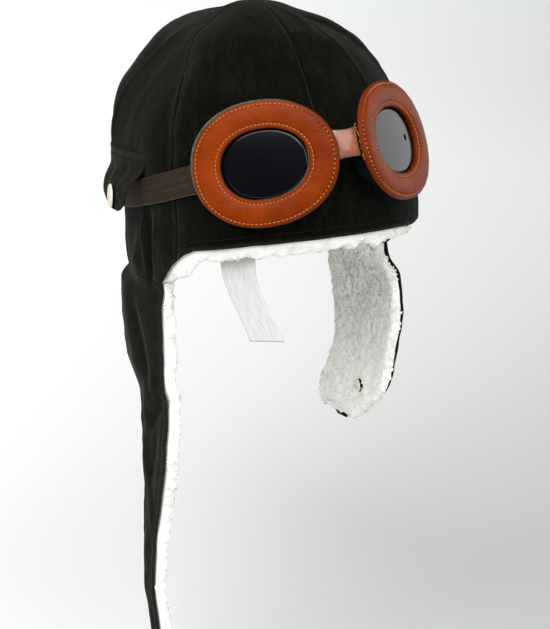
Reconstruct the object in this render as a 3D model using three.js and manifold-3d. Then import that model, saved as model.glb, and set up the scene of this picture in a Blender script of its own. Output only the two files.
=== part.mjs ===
import * as THREE from 'three';
import { mergeVertices } from 'three/addons/utils/BufferGeometryUtils.js';
import Module from 'manifold-3d';

const wasm = await Module();
wasm.setup();

// A winter aviator hat of woven cotton with a sherpa lining, ear flaps and goggles.
// Millimetres, +Z up, the face looks along -Y and the wearer's right is -X.
// The origin lies on the head's axis, level with the middle of the brow.

// Crown, outside of the cloth
const CROWN_HEIGHT = 115;
const CROWN_SIDE = 90;
const CROWN_FRONT = 104;
const CROWN_BACK = 120;
const CROWN_DROP = 43;

// Cloth and pile
const CLOTH = 1.5;
const PILE = 7.5;
const PILE_ROLL = 6;
const PILE_ROUNDING = 2;
const SEAM_GAP = 0.3;
const CLEARANCE = 0.3;
const FOLD_DEPTH = 5;
const TOP_SLACK = 0.9;
const TOP_SLACK_START = 0.7;

// Ear flaps, measured below the seam that joins them to the crown
const FLAP_WIDTH = 80;
const FLAP_SPREAD = 85;
const RIGHT_FLAP_LENGTH = 288;
const LEFT_FLAP_LENGTH = 139;
const RIGHT_PILE_MARGIN = 5;
const LEFT_PILE_MARGIN = 0;
const MARGIN_START = 4;
const MARGIN_FULL = 20;
const EDGE_SHARPNESS = 8;
const TIP_ROUNDING_START = 0.96;
const TIP_MARGIN_START = 0.9;
const FLAP_BLEND = 17;

// Goggles
const RIM_WIDTH = 84;
const RIM_HEIGHT = 69;
const OPENING_WIDTH = 51;
const OPENING_HEIGHT = 38.6;
const RIM_THICKNESS = 3.6;
const RIM_EDGE = 1.4;
const RIM_SQUARENESS = 2.15;
const OUTER_FULLNESS = 0.03;
const NOSE_GAP = 17.1;
const NOSE_STANDOFF = 19.26;
const LENS_RISE = 43.6;
const GOGGLE_SHIFT = 1.5;
const LENS_YAW = 39.4;
const LENS_LEAN = 17.8;
const LENS_DROOP = 9.6;
const GOGGLE_ROLL = -4.2;
const LENS_THICKNESS = 2;
const LENS_LAP = 3;
const LENS_DOME = 1.6;
const DOME_EDGE = 0.82;
const PAD_SETBACK = 3.5;
const PAD_TAPER = 4;
const PAD_DEPTH = 26;
const BRIDGE_HEIGHT = 19;
const BRIDGE_THICKNESS = 2.2;
const BRIDGE_TUCK = 4.5;
const PAD_GAP = 0.9;

// Elastic strap and the tabs that hold it
const STRAP_WIDTH = 16.5;
const STRAP_THICKNESS = 1.6;
const STRAP_LAP = 3.2;
const STRAP_EASE = 0.9;
const TAB_WIDTH = 55;
const TAB_LENGTH = 34.6;
const TAB_TOP = 34;
const TAB_LIFT = 13;
const TAB_ANGLE = 87;
const TAB_TILT = 5;
const TAB_SNAP_DROP = 0.69;
const TAB_SNAP_ACROSS = -0.15;
const SNAP_DIAMETER = 14.5;
const SNAP_HEIGHT = 1.7;
const FLAP_SNAP_DIAMETER = 9;
const FLAP_SNAP_DROP = 0.745;
const FLAP_SNAP_ACROSS = -0.32;
const FLAP_SNAP_RISE = 0.9;

// Blank care label
const LABEL_WIDTH = 22;
const LABEL_LENGTH = 66;
const LABEL_THICKNESS = 0.6;
const LABEL_ANGLE = 40.5;
const LABEL_GAP = 1.3;
const LABEL_CURL = 3;
const LABEL_SLIDE = 19;
const LABEL_TWIST = 2.6;
const LABEL_BEND = { start: 0.3, end: 1.15, twist: 0.25 };

// Outline of the crown in level sections, from below the nape to the top.
// height is a share of CROWN_HEIGHT, front and back of CROWN_FRONT and CROWN_BACK,
// right and left of CROWN_SIDE, and middle, where a section is widest, of CROWN_BACK.
const CROWN_SECTIONS = [
  { height: -0.56, front: 0.96, back: 0.64, right: 0.93, left: 0.94, middle: 0 },
  { height: -0.36, front: 0.985, back: 0.7, right: 0.955, left: 0.97, middle: 0 },
  { height: -0.14, front: 1, back: 0.77, right: 0.955, left: 1.09, middle: 0 },
  { height: 0.04, front: 1, back: 0.86, right: 0.965, left: 1.075, middle: 0 },
  { height: 0.22, front: 0.97, back: 0.94, right: 1, left: 1.03, middle: 0 },
  { height: 0.41, front: 0.915, back: 0.995, right: 0.985, left: 0.975, middle: 0 },
  { height: 0.565, front: 0.81, back: 1, right: 0.89, left: 0.9, middle: 0.01 },
  { height: 0.73, front: 0.655, back: 0.89, right: 0.695, left: 0.79, middle: 0.03 },
  { height: 0.86, front: 0.48, back: 0.715, right: 0.52, left: 0.61, middle: 0.06 },
  { height: 0.93, front: 0.3, back: 0.455, right: 0.33, left: 0.4, middle: 0.09 },
  { height: 0.985, front: 0.1, back: 0.19, right: 0.14, left: 0.18, middle: 0.13 },
];
const APEX_SETBACK = 0.147;
const SLOPE_STEP = 0.02;

// Steps by which a flap's and a tab's slopes are taken, as shares of their size
const FLAP_SLOPE_STEP = 0.01;
const SNAP_TILT_STEP = 0.15;

// Lower edge of the crown, by angles from the brow on the right and on the left.
// drop is a share of CROWN_DROP, at which the flaps are sewn on.
const CROWN_EDGE = [
  { right: 0, left: 0, drop: 0.11 },
  { right: 15, left: 15, drop: 0.13 },
  { right: 30, left: 30, drop: 0.19 },
  { right: 45, left: 45, drop: 0.3 },
  { right: 54, left: 60, drop: 0.38 },
  { right: 59, left: 69, drop: 0.48 },
  { right: 64, left: 75, drop: 0.66 },
  { right: 69, left: 80, drop: 0.93 },
  { right: 71, left: 83, drop: 1 },
  { right: 128, left: 138, drop: 1 },
  { right: 150, left: 155, drop: 1.07 },
  { right: 180, left: 180, drop: 1.16 },
];

// Folds, dents and tucks in the crown. angle is measured from the brow towards the
// wearer's right, height and length are shares of CROWN_HEIGHT, width of CROWN_SIDE,
// depth of FOLD_DEPTH with ridges positive, and lean tips the fold towards the back.
const CROWN_FOLDS = [
  { name: 'front dart', angle: 0, height: 0.66, length: 0.3, width: 0.03, lean: 0, depth: -0.4 },
  { name: 'brow swell', angle: 0, height: 0.34, length: 0.27, width: 0.36, lean: 0, depth: 1 },
  { name: 'right ridge', angle: 96, height: 0.56, length: 0.3, width: 0.09, lean: 4, depth: 0.55 },
  { name: 'right valley', angle: 109, height: 0.55, length: 0.27, width: 0.1, lean: 10, depth: -0.95 },
  { name: 'right shoulder', angle: 122, height: 0.78, length: 0.15, width: 0.22, lean: 0, depth: 0.25 },
  { name: 'right strap pinch', angle: 92, height: 0.03, length: 0.14, width: 0.5, lean: 0, depth: -0.3 },
  { name: 'right tuck', angle: 77, height: -0.2, length: 0.2, width: 0.035, lean: 0, depth: -0.5 },
  { name: 'right pucker', angle: 85, height: -0.24, length: 0.14, width: 0.05, lean: 12, depth: 0.4 },
  { name: 'left ridge', angle: -52, height: 0.8, length: 0.16, width: 0.06, lean: -30, depth: 0.35 },
  { name: 'left valley', angle: -66, height: 0.76, length: 0.18, width: 0.1, lean: -24, depth: -0.7 },
  { name: 'left tuck', angle: -77, height: -0.2, length: 0.2, width: 0.035, lean: 0, depth: -0.4 },
  { name: 'brow wrinkle', angle: -20, height: 0.9, length: 0.18, width: 0.04, lean: 75, depth: 0.25 },
  { name: 'back fold', angle: 168, height: 0.1, length: 0.3, width: 0.12, lean: 8, depth: -0.4 },
];

// Seam between the front and side panels in plan, as shares of CROWN_SIDE and CROWN_FRONT
const SEAM_PLAN = [
  { side: 1.2, front: 0.86 },
  { side: 0.85, front: 0.5 },
  { side: 0.72, front: 0.32 },
  { side: 0.5, front: 0.07 },
  { side: 0.2, front: -0.11 },
];

// Flap outlines by drop below the crown seam. drop is a share of the flap's length, fore and
// aft its edges as shares of FLAP_WIDTH from the head's axis, and the three spreads how far
// out its fore edge, middle and aft edge hang, as shares of FLAP_SPREAD.
const RIGHT_FLAP = [
  { drop: 0, fore: -0.43, aft: 0.6, foreOut: 0.93, midOut: 0.98, aftOut: 0.84 },
  { drop: 0.05, fore: -0.4, aft: 0.585, foreOut: 0.95, midOut: 1.035, aftOut: 0.935 },
  { drop: 0.16, fore: -0.41, aft: 0.56, foreOut: 0.957, midOut: 1.035, aftOut: 0.955 },
  { drop: 0.24, fore: -0.45, aft: 0.5, foreOut: 0.969, midOut: 1.025, aftOut: 0.95 },
  { drop: 0.305, fore: -0.48, aft: 0.32, foreOut: 0.962, midOut: 0.99, aftOut: 0.921 },
  { drop: 0.375, fore: -0.46, aft: 0.13, foreOut: 0.979, midOut: 0.985, aftOut: 0.969 },
  { drop: 0.45, fore: -0.4, aft: 0.09, foreOut: 0.979, midOut: 0.99, aftOut: 0.985 },
  { drop: 0.52, fore: -0.31, aft: 0.07, foreOut: 0.98, midOut: 0.99, aftOut: 0.988 },
  { drop: 0.6, fore: -0.21, aft: 0.14, foreOut: 0.98, midOut: 0.985, aftOut: 0.979 },
  { drop: 0.68, fore: -0.15, aft: 0.19, foreOut: 0.995, midOut: 0.988, aftOut: 0.971 },
  { drop: 0.79, fore: -0.125, aft: 0.21, foreOut: 1.013, midOut: 1, aftOut: 0.975 },
  { drop: 0.86, fore: -0.155, aft: 0.18, foreOut: 1, midOut: 0.99, aftOut: 0.97 },
  { drop: 0.93, fore: -0.2, aft: 0.13, foreOut: 0.995, midOut: 0.98, aftOut: 0.95 },
  { drop: 0.97, fore: -0.19, aft: 0.1, foreOut: 0.985, midOut: 0.97, aftOut: 0.945 },
  { drop: 0.99, fore: -0.14, aft: 0.05, foreOut: 0.975, midOut: 0.965, aftOut: 0.945 },
  { drop: 1, fore: -0.07, aft: -0.02, foreOut: 0.965, midOut: 0.96, aftOut: 0.955 },
];
const LEFT_FLAP = [
  { drop: 0, fore: -0.18, aft: 0.75, foreOut: 0.95, midOut: 1, aftOut: 0.8 },
  { drop: 0.1, fore: -0.36, aft: 0.64, foreOut: 1.017, midOut: 1.062, aftOut: 0.942 },
  { drop: 0.22, fore: -0.43, aft: 0.57, foreOut: 1.032, midOut: 1.052, aftOut: 0.947 },
  { drop: 0.36, fore: -0.44, aft: 0.49, foreOut: 1.036, midOut: 1.042, aftOut: 0.95 },
  { drop: 0.5, fore: -0.44, aft: 0.4, foreOut: 1.002, midOut: 1.017, aftOut: 0.926 },
  { drop: 0.64, fore: -0.42, aft: 0.39, foreOut: 0.977, midOut: 0.982, aftOut: 0.892 },
  { drop: 0.74, fore: -0.34, aft: 0.45, foreOut: 0.962, midOut: 0.947, aftOut: 0.872 },
  { drop: 0.84, fore: -0.19, aft: 0.51, foreOut: 0.952, midOut: 0.917, aftOut: 0.852 },
  { drop: 0.92, fore: -0.03, aft: 0.49, foreOut: 0.927, midOut: 0.892, aftOut: 0.842 },
  { drop: 0.97, fore: 0.09, aft: 0.43, foreOut: 0.902, midOut: 0.877, aftOut: 0.842 },
  { drop: 1, fore: 0.22, aft: 0.32, foreOut: 0.877, midOut: 0.867, aftOut: 0.852 },
];

// Height of the strap's middle by angle from the brow, as shares of CROWN_HEIGHT
const STRAP_PATH = [
  { angle: -180, height: -0.16 },
  { angle: -135, height: -0.09 },
  { angle: -105, height: -0.01 },
  { angle: -90, height: 0.05 },
  { angle: -70, height: 0.15 },
  { angle: -47, height: 0.31 },
  { angle: 47, height: 0.25 },
  { angle: 70, height: 0.14 },
  { angle: 90, height: 0.045 },
  { angle: 105, height: -0.01 },
  { angle: 135, height: -0.1 },
  { angle: 180, height: -0.16 },
];

// Outline of a tab down from its sewn edge. drop is a share of TAB_LENGTH, half of half
// TAB_WIDTH, and lift, how far it stands off the crown, of TAB_LIFT.
const TAB_OUTLINE = [
  { drop: 0, half: 1, lift: 0 },
  { drop: 0.12, half: 0.94, lift: 0.02 },
  { drop: 0.3, half: 0.83, lift: 0.16 },
  { drop: 0.5, half: 0.67, lift: 0.72 },
  { drop: 0.66, half: 0.59, lift: 0.96 },
  { drop: 0.8, half: 0.5, lift: 1 },
  { drop: 0.9, half: 0.37, lift: 1.02 },
  { drop: 0.96, half: 0.27, lift: 1.02 },
  { drop: 1, half: 0.14, lift: 1.02 },
];

// Section of the leather ring from the opening, 0, to the outer edge, 1, and back below
const RIM_SECTION = [
  { across: 0, depth: 0 },
  { across: 0, depth: 0.45 },
  { across: 0.14, depth: 0.86 },
  { across: 0.5, depth: 1 },
  { across: 0.86, depth: 0.8 },
  { across: 1, depth: RIM_EDGE / RIM_THICKNESS },
  { across: 1, depth: 0 },
];

// Profile of a snap's cap, as shares of its radius and height
const SNAP_PROFILE = [
  { out: 0, rise: 0 },
  { out: 1, rise: 0 },
  { out: 1, rise: 0.35 },
  { out: 0.88, rise: 0.8 },
  { out: 0.6, rise: 1 },
  { out: 0.45, rise: 0.72 },
  { out: 0, rise: 0.66 },
];

// Mesh fineness
const CROWN_STEP = 7.5;
const CROWN_ROWS = 11;
const ROW_CROWDING = 1.25;
const FLAP_COLUMNS = 6;
const FLAP_ROW_STEP = 20;
const RIM_SEGMENTS = 32;
const SNAP_SEGMENTS = 12;
const STRAP_STEPS = 42;
const TAB_COLUMNS = 6;
const LABEL_STEPS = 9;
const SEAM_STEPS = 15;
const MERGE_DISTANCE = 1e-4;
const HALVINGS = 40;
const CORNER_ROWS = [4, 9];

const RIGHT = -1;
const LEFT = 1;
const radians = THREE.MathUtils.degToRad;
const lerp = THREE.MathUtils.lerp;
const smoothstep = THREE.MathUtils.smoothstep;
const degrees = THREE.MathUtils.radToDeg;

// An angle brought between -180 and 180 degrees
const fromBrow = angle => THREE.MathUtils.euclideanModulo(angle + 180, 360) - 180;

function material(color, roughness, metalness = 0) {
  return new THREE.MeshStandardMaterial({ color, roughness, metalness });
}

const COTTON = material(0x24241f, 0.85);
const SHERPA = material(0xf0efea, 0.95);
const LEATHER = material(0xa54b19, 0.45);
const ELASTIC = material(0x3e322a, 0.8);
const PAD_FOAM = material(0x1c2426, 0.8);
const DARK_LENS = material(0x0c0c16, 0.08);
const NICKEL = material(0xdcdcd2, 0.3, 1);
const SATIN = material(0xdfe0de, 0.6);

// Catmull-Rom value at t, where t counts the entries of the list
function splineAt(values, t) {
  const last = values.length - 1;
  const index = Math.min(Math.max(Math.floor(t), 0), last - 1);
  const s = t - index;
  const at = k => values[Math.min(Math.max(k, 0), last)];
  const [a, b, c, d] = [at(index - 1), at(index), at(index + 1), at(index + 2)];
  return 0.5 * (2 * b + (c - a) * s + (2 * a - 5 * b + 4 * c - d) * s * s
    + (3 * b - a - 3 * c + d) * s * s * s);
}

// Value of a column at a key, linear between the rows of a table
function tableAt(rows, key, column, where) {
  const last = rows.length - 1;
  const next = rows.findIndex(row => row[key] >= where);
  if (next === 0 || where <= rows[0][key]) return rows[0][column];
  if (next < 0) return rows[last][column];
  const [a, b] = [rows[next - 1], rows[next]];
  return lerp(a[column], b[column], (where - a[key]) / (b[key] - a[key]));
}

// Smooth value of a column at a key, through the rows of a table
function smoothTableAt(rows, key, column, where) {
  const next = rows.findIndex(row => row[key] > where);
  if (next < 0) return rows[rows.length - 1][column];
  if (next === 0) return rows[0][column];
  const [a, b] = [rows[next - 1], rows[next]];
  const t = next - 1 + (where - a[key]) / (b[key] - a[key]);
  return splineAt(rows.map(row => row[column]), t);
}

// Section lengths in millimetres from the widest place, carried past the top so that it is round
const SECTION_COLUMNS = (() => {
  const apexY = APEX_SETBACK * CROWN_BACK;
  const rows = CROWN_SECTIONS.map(row => ({
    height: row.height * CROWN_HEIGHT,
    middle: row.middle * CROWN_BACK,
    front: row.front * CROWN_FRONT + row.middle * CROWN_BACK,
    back: (row.back - row.middle) * CROWN_BACK,
    right: row.right * CROWN_SIDE,
    left: row.left * CROWN_SIDE,
  }));
  const mirrored = row => ({
    height: row.height,
    middle: 2 * apexY - row.middle,
    front: -row.front,
    back: -row.back,
    right: -row.right,
    left: -row.left,
  });
  const top = { height: CROWN_HEIGHT, middle: apexY, front: 0, back: 0, right: 0, left: 0 };
  const all = [...rows, top, ...rows.slice(-2).reverse().map(mirrored)];
  return Object.fromEntries(Object.keys(top).map(name => [name, all.map(row => row[name])]));
})();
const TOP_ROW = CROWN_SECTIONS.length;

// Smooth, unfolded outside of the crown at an angle in degrees and a section row
function plainCrown(angle, row) {
  const turn = radians(angle);
  const ahead = Math.cos(turn) > 0 ? 'front' : 'back';
  const beside = Math.sin(turn) > 0 ? 'right' : 'left';
  const at = name => splineAt(SECTION_COLUMNS[name], row);
  return new THREE.Vector3(
    -at(beside) * Math.sin(turn),
    at('middle') - at(ahead) * Math.cos(turn),
    at('height'));
}

function crownNormal(angle, row) {
  const step = SLOPE_STEP;
  if (row > TOP_ROW - step) return new THREE.Vector3(0, 0, 1);
  const round = plainCrown(angle + 1, row).sub(plainCrown(angle - 1, row));
  const rise = plainCrown(angle, row + step).sub(plainCrown(angle, row - step));
  return rise.cross(round).normalize();
}

// How far the cloth stands out of the plain crown at a place
function foldHeight(angle, height) {
  let total = 0;
  for (const fold of CROWN_FOLDS) {
    const across = radians(fromBrow(angle - fold.angle)) * CROWN_SIDE;
    const up = height - fold.height * CROWN_HEIGHT;
    const lean = radians(fold.lean);
    const along = up * Math.cos(lean) - across * Math.sin(lean);
    const aside = across * Math.cos(lean) + up * Math.sin(lean);
    const length = along / (fold.length * CROWN_HEIGHT);
    const width = aside / (fold.width * CROWN_SIDE);
    total += fold.depth * FOLD_DEPTH * Math.exp(-width * width - length ** 4);
  }
  return total;
}

// A point of the crown, moved in from the outside of its cloth
function crownAt(angle, row, inset = 0) {
  const point = plainCrown(angle, row);
  const flat = smoothstep(TOP_ROW - row, 0, 1);
  const out = foldHeight(angle, point.z) * flat - inset;
  return point.addScaledVector(crownNormal(angle, row), out);
}

// The section row at a height, by halving
function rowAtHeight(height) {
  let [low, high] = [0, TOP_ROW];
  for (let i = 0; i < HALVINGS; i += 1) {
    const middle = (low + high) / 2;
    if (splineAt(SECTION_COLUMNS.height, middle) < height) low = middle;
    else high = middle;
  }
  return low;
}

function edgeHeight(angle) {
  const around = fromBrow(angle);
  const side = around > 0 ? 'right' : 'left';
  return -tableAt(CROWN_EDGE, side, 'drop', Math.abs(around)) * CROWN_DROP;
}

// A closed body from points and triangles, with its faces turned out
function closedGeometry(points, triangles) {
  const loose = new THREE.BufferGeometry().setFromPoints(points);
  loose.setIndex(triangles.flat());
  const merged = mergeVertices(loose, MERGE_DISTANCE);
  const old = merged.getIndex().array;
  const place = merged.getAttribute('position');
  const corner = k => new THREE.Vector3().fromBufferAttribute(place, k);
  const kept = [];
  let volume = 0;
  for (let i = 0; i < old.length; i += 3) {
    const [a, b, c] = [old[i], old[i + 1], old[i + 2]];
    if (a === b || b === c || c === a) continue;
    kept.push([a, b, c]);
    volume += corner(a).dot(corner(b).cross(corner(c)));
  }
  const faces = volume < 0 ? kept.map(([a, b, c]) => [a, c, b]) : kept;
  merged.setIndex(faces.flat());
  return merged;
}

// A wall between two grids of points with the same rows and columns
function wallGeometry(outside, inside, wraps) {
  const rows = outside.length;
  const columns = outside[0].length;
  const points = [...outside.flat(), ...inside.flat()];
  const near = (i, j) => i * columns + (j % columns);
  const far = (i, j) => rows * columns + near(i, j);
  const triangles = [];
  const quad = (a, b, c, d) => triangles.push([a, b, c], [a, c, d]);
  const spans = wraps ? columns : columns - 1;
  for (let i = 0; i < rows - 1; i += 1) {
    for (let j = 0; j < spans; j += 1) {
      quad(near(i, j), near(i, j + 1), near(i + 1, j + 1), near(i + 1, j));
      quad(far(i, j), far(i + 1, j), far(i + 1, j + 1), far(i, j + 1));
    }
  }
  for (let j = 0; j < spans; j += 1) {
    quad(near(0, j), far(0, j), far(0, j + 1), near(0, j + 1));
    quad(near(rows - 1, j), near(rows - 1, j + 1), far(rows - 1, j + 1), far(rows - 1, j));
  }
  for (let i = 0; i < rows - 1 && !wraps; i += 1) {
    const end = columns - 1;
    quad(near(i, 0), near(i + 1, 0), far(i + 1, 0), far(i, 0));
    quad(near(i, end), far(i, end), far(i + 1, end), near(i + 1, end));
  }
  return closedGeometry(points, triangles);
}

// A ring body from closed sections, one for each step round it
function ringGeometry(sections) {
  const steps = sections.length;
  const sides = sections[0].length;
  const at = (i, j) => (i % steps) * sides + (j % sides);
  const triangles = [];
  for (let i = 0; i < steps; i += 1) {
    for (let j = 0; j < sides; j += 1) {
      triangles.push([at(i, j), at(i + 1, j), at(i + 1, j + 1)]);
      triangles.push([at(i, j), at(i + 1, j + 1), at(i, j + 1)]);
    }
  }
  return closedGeometry(sections.flat(), triangles);
}

const steps = (count, from, to) =>
  Array.from({ length: count + 1 }, (_, i) => lerp(from, to, i / count));

// Column angles round the crown, closer together where its edge drops to the flaps
const CROWN_ANGLES = (() => {
  const even = Array.from({ length: 360 / CROWN_STEP }, (_, i) => i * CROWN_STEP - 180);
  const corners = CROWN_EDGE.slice(...CORNER_ROWS).flatMap(row => [row.right, -row.left]);
  return [...new Set([...even, ...corners])].sort((a, b) => a - b);
})();

function crownShell() {
  const layer = inset => steps(CROWN_ROWS, 0, 1).map(share => CROWN_ANGLES.map(angle => {
    const row = lerp(rowAtHeight(edgeHeight(angle)), TOP_ROW, share ** ROW_CROWDING);
    return crownAt(angle, row, inset);
  }));
  return wallGeometry(layer(0), layer(CLOTH), true);
}

function toManifold(geometry) {
  const bare = new THREE.BufferGeometry();
  bare.setAttribute('position', geometry.getAttribute('position').clone());
  bare.setIndex(geometry.getIndex());
  const merged = mergeVertices(bare, MERGE_DISTANCE);
  return new wasm.Manifold(new wasm.Mesh({
    numProp: 3,
    vertProperties: new Float32Array(merged.getAttribute('position').array),
    triVerts: new Uint32Array(merged.getIndex().array),
  }));
}

function fromManifold(solid) {
  const mesh = solid.getMesh();
  const geometry = new THREE.BufferGeometry();
  geometry.setAttribute('position', new THREE.BufferAttribute(mesh.vertProperties, 3));
  geometry.setIndex(new THREE.BufferAttribute(mesh.triVerts, 1));
  return geometry;
}

// An upright blade that cuts the crown along a seam drawn in plan
function seamBlade(plan) {
  const curve = new THREE.CatmullRomCurve3(plan.map(([x, y]) => new THREE.Vector3(x, y, 0)));
  const spine = curve.getPoints(SEAM_STEPS);
  const edge = side => spine.map((point, i) => {
    const tangent = curve.getTangent(i / (spine.length - 1));
    const aside = new THREE.Vector2(-tangent.y, tangent.x).setLength(side * SEAM_GAP / 2);
    return new THREE.Vector2(point.x, point.y).add(aside);
  });
  const shape = new THREE.Shape([...edge(1), ...edge(-1).reverse()]);
  const depth = 3 * CROWN_HEIGHT;
  const blade = new THREE.ExtrudeGeometry(shape, { depth, bevelEnabled: false });
  blade.deleteAttribute('normal');
  blade.deleteAttribute('uv');
  blade.translate(0, 0, -CROWN_HEIGHT);
  return toManifold(mergeVertices(blade, MERGE_DISTANCE));
}

function crownPanels() {
  const apexY = APEX_SETBACK * CROWN_BACK;
  const seam = side => [
    ...SEAM_PLAN.map(row => [side * row.side * CROWN_SIDE, -row.front * CROWN_FRONT]),
    [0, apexY],
  ];
  const backSeam = [[0, apexY - SEAM_GAP], [0, CROWN_BACK / 2], [0, CROWN_BACK + CROWN_DROP]];
  let shell = toManifold(crownShell());
  for (const plan of [seam(RIGHT), seam(LEFT), backSeam]) shell = shell.subtract(seamBlade(plan));
  const middle = solid => {
    const box = solid.boundingBox();
    return (box.min[0] + box.max[0]) / 2;
  };
  const panels = shell.decompose().sort((a, b) => middle(a) - middle(b)).map(fromManifold);
  return { right: panels[0], front: panels[1], left: panels[2] };
}

// Share of the crown's edge that carries a flap at an angle, from 0 to 1
function flapShare(angle) {
  const around = fromBrow(angle);
  const side = around > 0 ? 'right' : 'left';
  const [fore, aft] = CROWN_EDGE.filter(row => row.drop === 1).map(row => row[side]);
  const size = Math.abs(around);
  return smoothstep(size, fore - CROWN_STEP, fore) * (1 - smoothstep(size, aft, aft + CROWN_STEP));
}

// The pile inside the crown, which rolls out under the cloth where no flap hangs
function crownLining() {
  const skin = CLOTH + CLEARANCE;
  const outside = [];
  const inside = [];
  for (const share of [-1, ...steps(CROWN_ROWS, 0, 1)]) {
    const rolled = share < 0 ? 1 : 0;
    const columns = CROWN_ANGLES.map(angle => {
      const free = rolled * (1 - flapShare(angle));
      const foot = rowAtHeight(edgeHeight(angle) - PILE_ROLL * free);
      const row = lerp(foot, TOP_ROW, Math.max(share, 0) ** ROW_CROWDING);
      const outer = skin + PILE_ROUNDING * free + TOP_SLACK * smoothstep(share, TOP_SLACK_START, 1);
      return [crownAt(angle, row, outer), crownAt(angle, row, skin + PILE - PILE_ROUNDING * free)];
    });
    outside.push(columns.map(pair => pair[0]));
    inside.push(columns.map(pair => pair[1]));
  }
  return wallGeometry(outside, inside, true);
}

// Smooth outside of a flap at a drop share and a place across it, fore -1 to aft 1
function plainFlap(side, table, length, drop, across) {
  const at = column => smoothTableAt(table, 'drop', column, drop);
  const fore = at('fore') * FLAP_WIDTH;
  const aft = at('aft') * FLAP_WIDTH;
  const y = lerp(fore, aft, (across + 1) / 2);
  const [foreOut, midOut, aftOut] = [at('foreOut'), at('midOut'), at('aftOut')];
  const slope = (aftOut - foreOut) / 2;
  const bow = (aftOut + foreOut) / 2 - midOut;
  const hang = side * FLAP_SPREAD * (midOut + slope * across + bow * across * across);
  const z = -CROWN_DROP - 2 * CLEARANCE - drop * length;
  const near = Math.max(z, CROWN_SECTIONS[0].height * CROWN_HEIGHT);
  const row = rowAtHeight(near);
  const reach = y < 0 ? splineAt(SECTION_COLUMNS.front, row) : splineAt(SECTION_COLUMNS.back, row);
  const beside = splineAt(side === RIGHT ? SECTION_COLUMNS.right : SECTION_COLUMNS.left, row);
  const crownX = side * beside * Math.sqrt(Math.max(1 - (y / reach) ** 2, 0));
  const blend = smoothstep(drop * length, 0, FLAP_BLEND);
  return new THREE.Vector3(lerp(crownX, hang, blend), y, z);
}

function flapAt(side, table, length, drop, across, inset) {
  const step = FLAP_SLOPE_STEP;
  const low = plainFlap(side, table, length, Math.min(drop + step, 1), across);
  const high = plainFlap(side, table, length, Math.max(drop - step, 0), across);
  const fore = plainFlap(side, table, length, drop, across - step);
  const aft = plainFlap(side, table, length, drop, across + step);
  const normal = low.sub(high).cross(aft.sub(fore)).normalize();
  if (normal.x * side < 0) normal.negate();
  normal.z = 0;
  normal.normalize();
  return plainFlap(side, table, length, drop, across).addScaledVector(normal, -inset);
}

function flapRows(table, length) {
  const rows = [];
  for (let k = 1; k < table.length; k += 1) {
    const span = (table[k].drop - table[k - 1].drop) * length;
    const count = Math.max(Math.round(span / FLAP_ROW_STEP), 1);
    rows.push(...steps(count, table[k - 1].drop, table[k].drop).slice(0, -1));
  }
  return [...rows, 1];
}

function flapShell(side, table, length) {
  const layer = inset => flapRows(table, length).map(drop =>
    steps(FLAP_COLUMNS, -1, 1).map(across => flapAt(side, table, length, drop, across, inset)));
  return wallGeometry(layer(0), layer(CLOTH), false);
}

// Pile of a flap, a little larger than its cloth below the top, with softened edges
function flapLining(side, table, length, margin) {
  const skin = CLOTH + CLEARANCE;
  const layer = inner => flapRows(table, length).map(drop =>
    steps(FLAP_COLUMNS, -1, 1).map(across => {
      const border = across ** EDGE_SHARPNESS;
      const edge = Math.max(border, smoothstep(drop, TIP_ROUNDING_START, 1));
      const inset = inner ? skin + PILE - PILE_ROUNDING * edge : skin + PILE_ROUNDING * edge;
      const point = flapAt(side, table, length, drop, across, inset);
      const grow = margin * smoothstep(drop * length, MARGIN_START, MARGIN_FULL);
      point.y += grow * Math.sign(across) * border;
      point.z -= grow * smoothstep(drop, TIP_MARGIN_START, 1);
      return point;
    }));
  return wallGeometry(layer(false), layer(true), false);
}

// Frame of one lens: middle of the ring's back face, axes out, up and ahead
function lensFrame(side) {
  const yaw = radians(LENS_YAW);
  const lean = radians(LENS_LEAN);
  const droop = radians(LENS_DROOP);
  const level = new THREE.Vector3(side * Math.sin(yaw), -Math.cos(yaw), 0);
  const flat = new THREE.Vector3(side * Math.cos(yaw), Math.sin(yaw), 0);
  const rise = new THREE.Vector3(0, 0, 1);
  const ahead = level.clone().multiplyScalar(Math.cos(lean)).addScaledVector(rise, Math.sin(lean));
  const tall = level.clone().multiplyScalar(-Math.sin(lean)).addScaledVector(rise, Math.cos(lean));
  const out = flat.clone().multiplyScalar(Math.cos(droop)).addScaledVector(tall, -Math.sin(droop));
  const up = flat.clone().multiplyScalar(Math.sin(droop)).addScaledVector(tall, Math.cos(droop));
  const roll = new THREE.Matrix4().makeRotationY(radians(GOGGLE_ROLL));
  const pivot = new THREE.Vector3(GOGGLE_SHIFT, -CROWN_FRONT - NOSE_STANDOFF, LENS_RISE);
  const middle = new THREE.Vector3(side * NOSE_GAP / 2, 0, 0).addScaledVector(flat, RIM_WIDTH / 2);
  middle.applyMatrix4(roll).add(pivot);
  for (const axis of [ahead, out, up]) axis.applyMatrix4(roll);
  middle.addScaledVector(ahead, -RIM_THICKNESS / 2);
  return { middle, ahead, out, up };
}

// A point given in a lens's own axes
function inLens(frame, along, high, depth) {
  return frame.middle.clone().addScaledVector(frame.out, along)
    .addScaledVector(frame.up, high).addScaledVector(frame.ahead, depth);
}

// A rounded outline round a lens, a little fuller away from the nose
function lensOutline(halfWidth, halfHeight, turn) {
  const bend = value => Math.sign(value) * Math.abs(value) ** (2 / RIM_SQUARENESS);
  const share = bend(Math.cos(turn));
  const high = halfHeight * bend(Math.sin(turn)) * (1 + OUTER_FULLNESS * share);
  return [halfWidth * share, high];
}

const ringTurns = count => Array.from({ length: count }, (_, i) => 2 * Math.PI * i / count);

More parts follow.
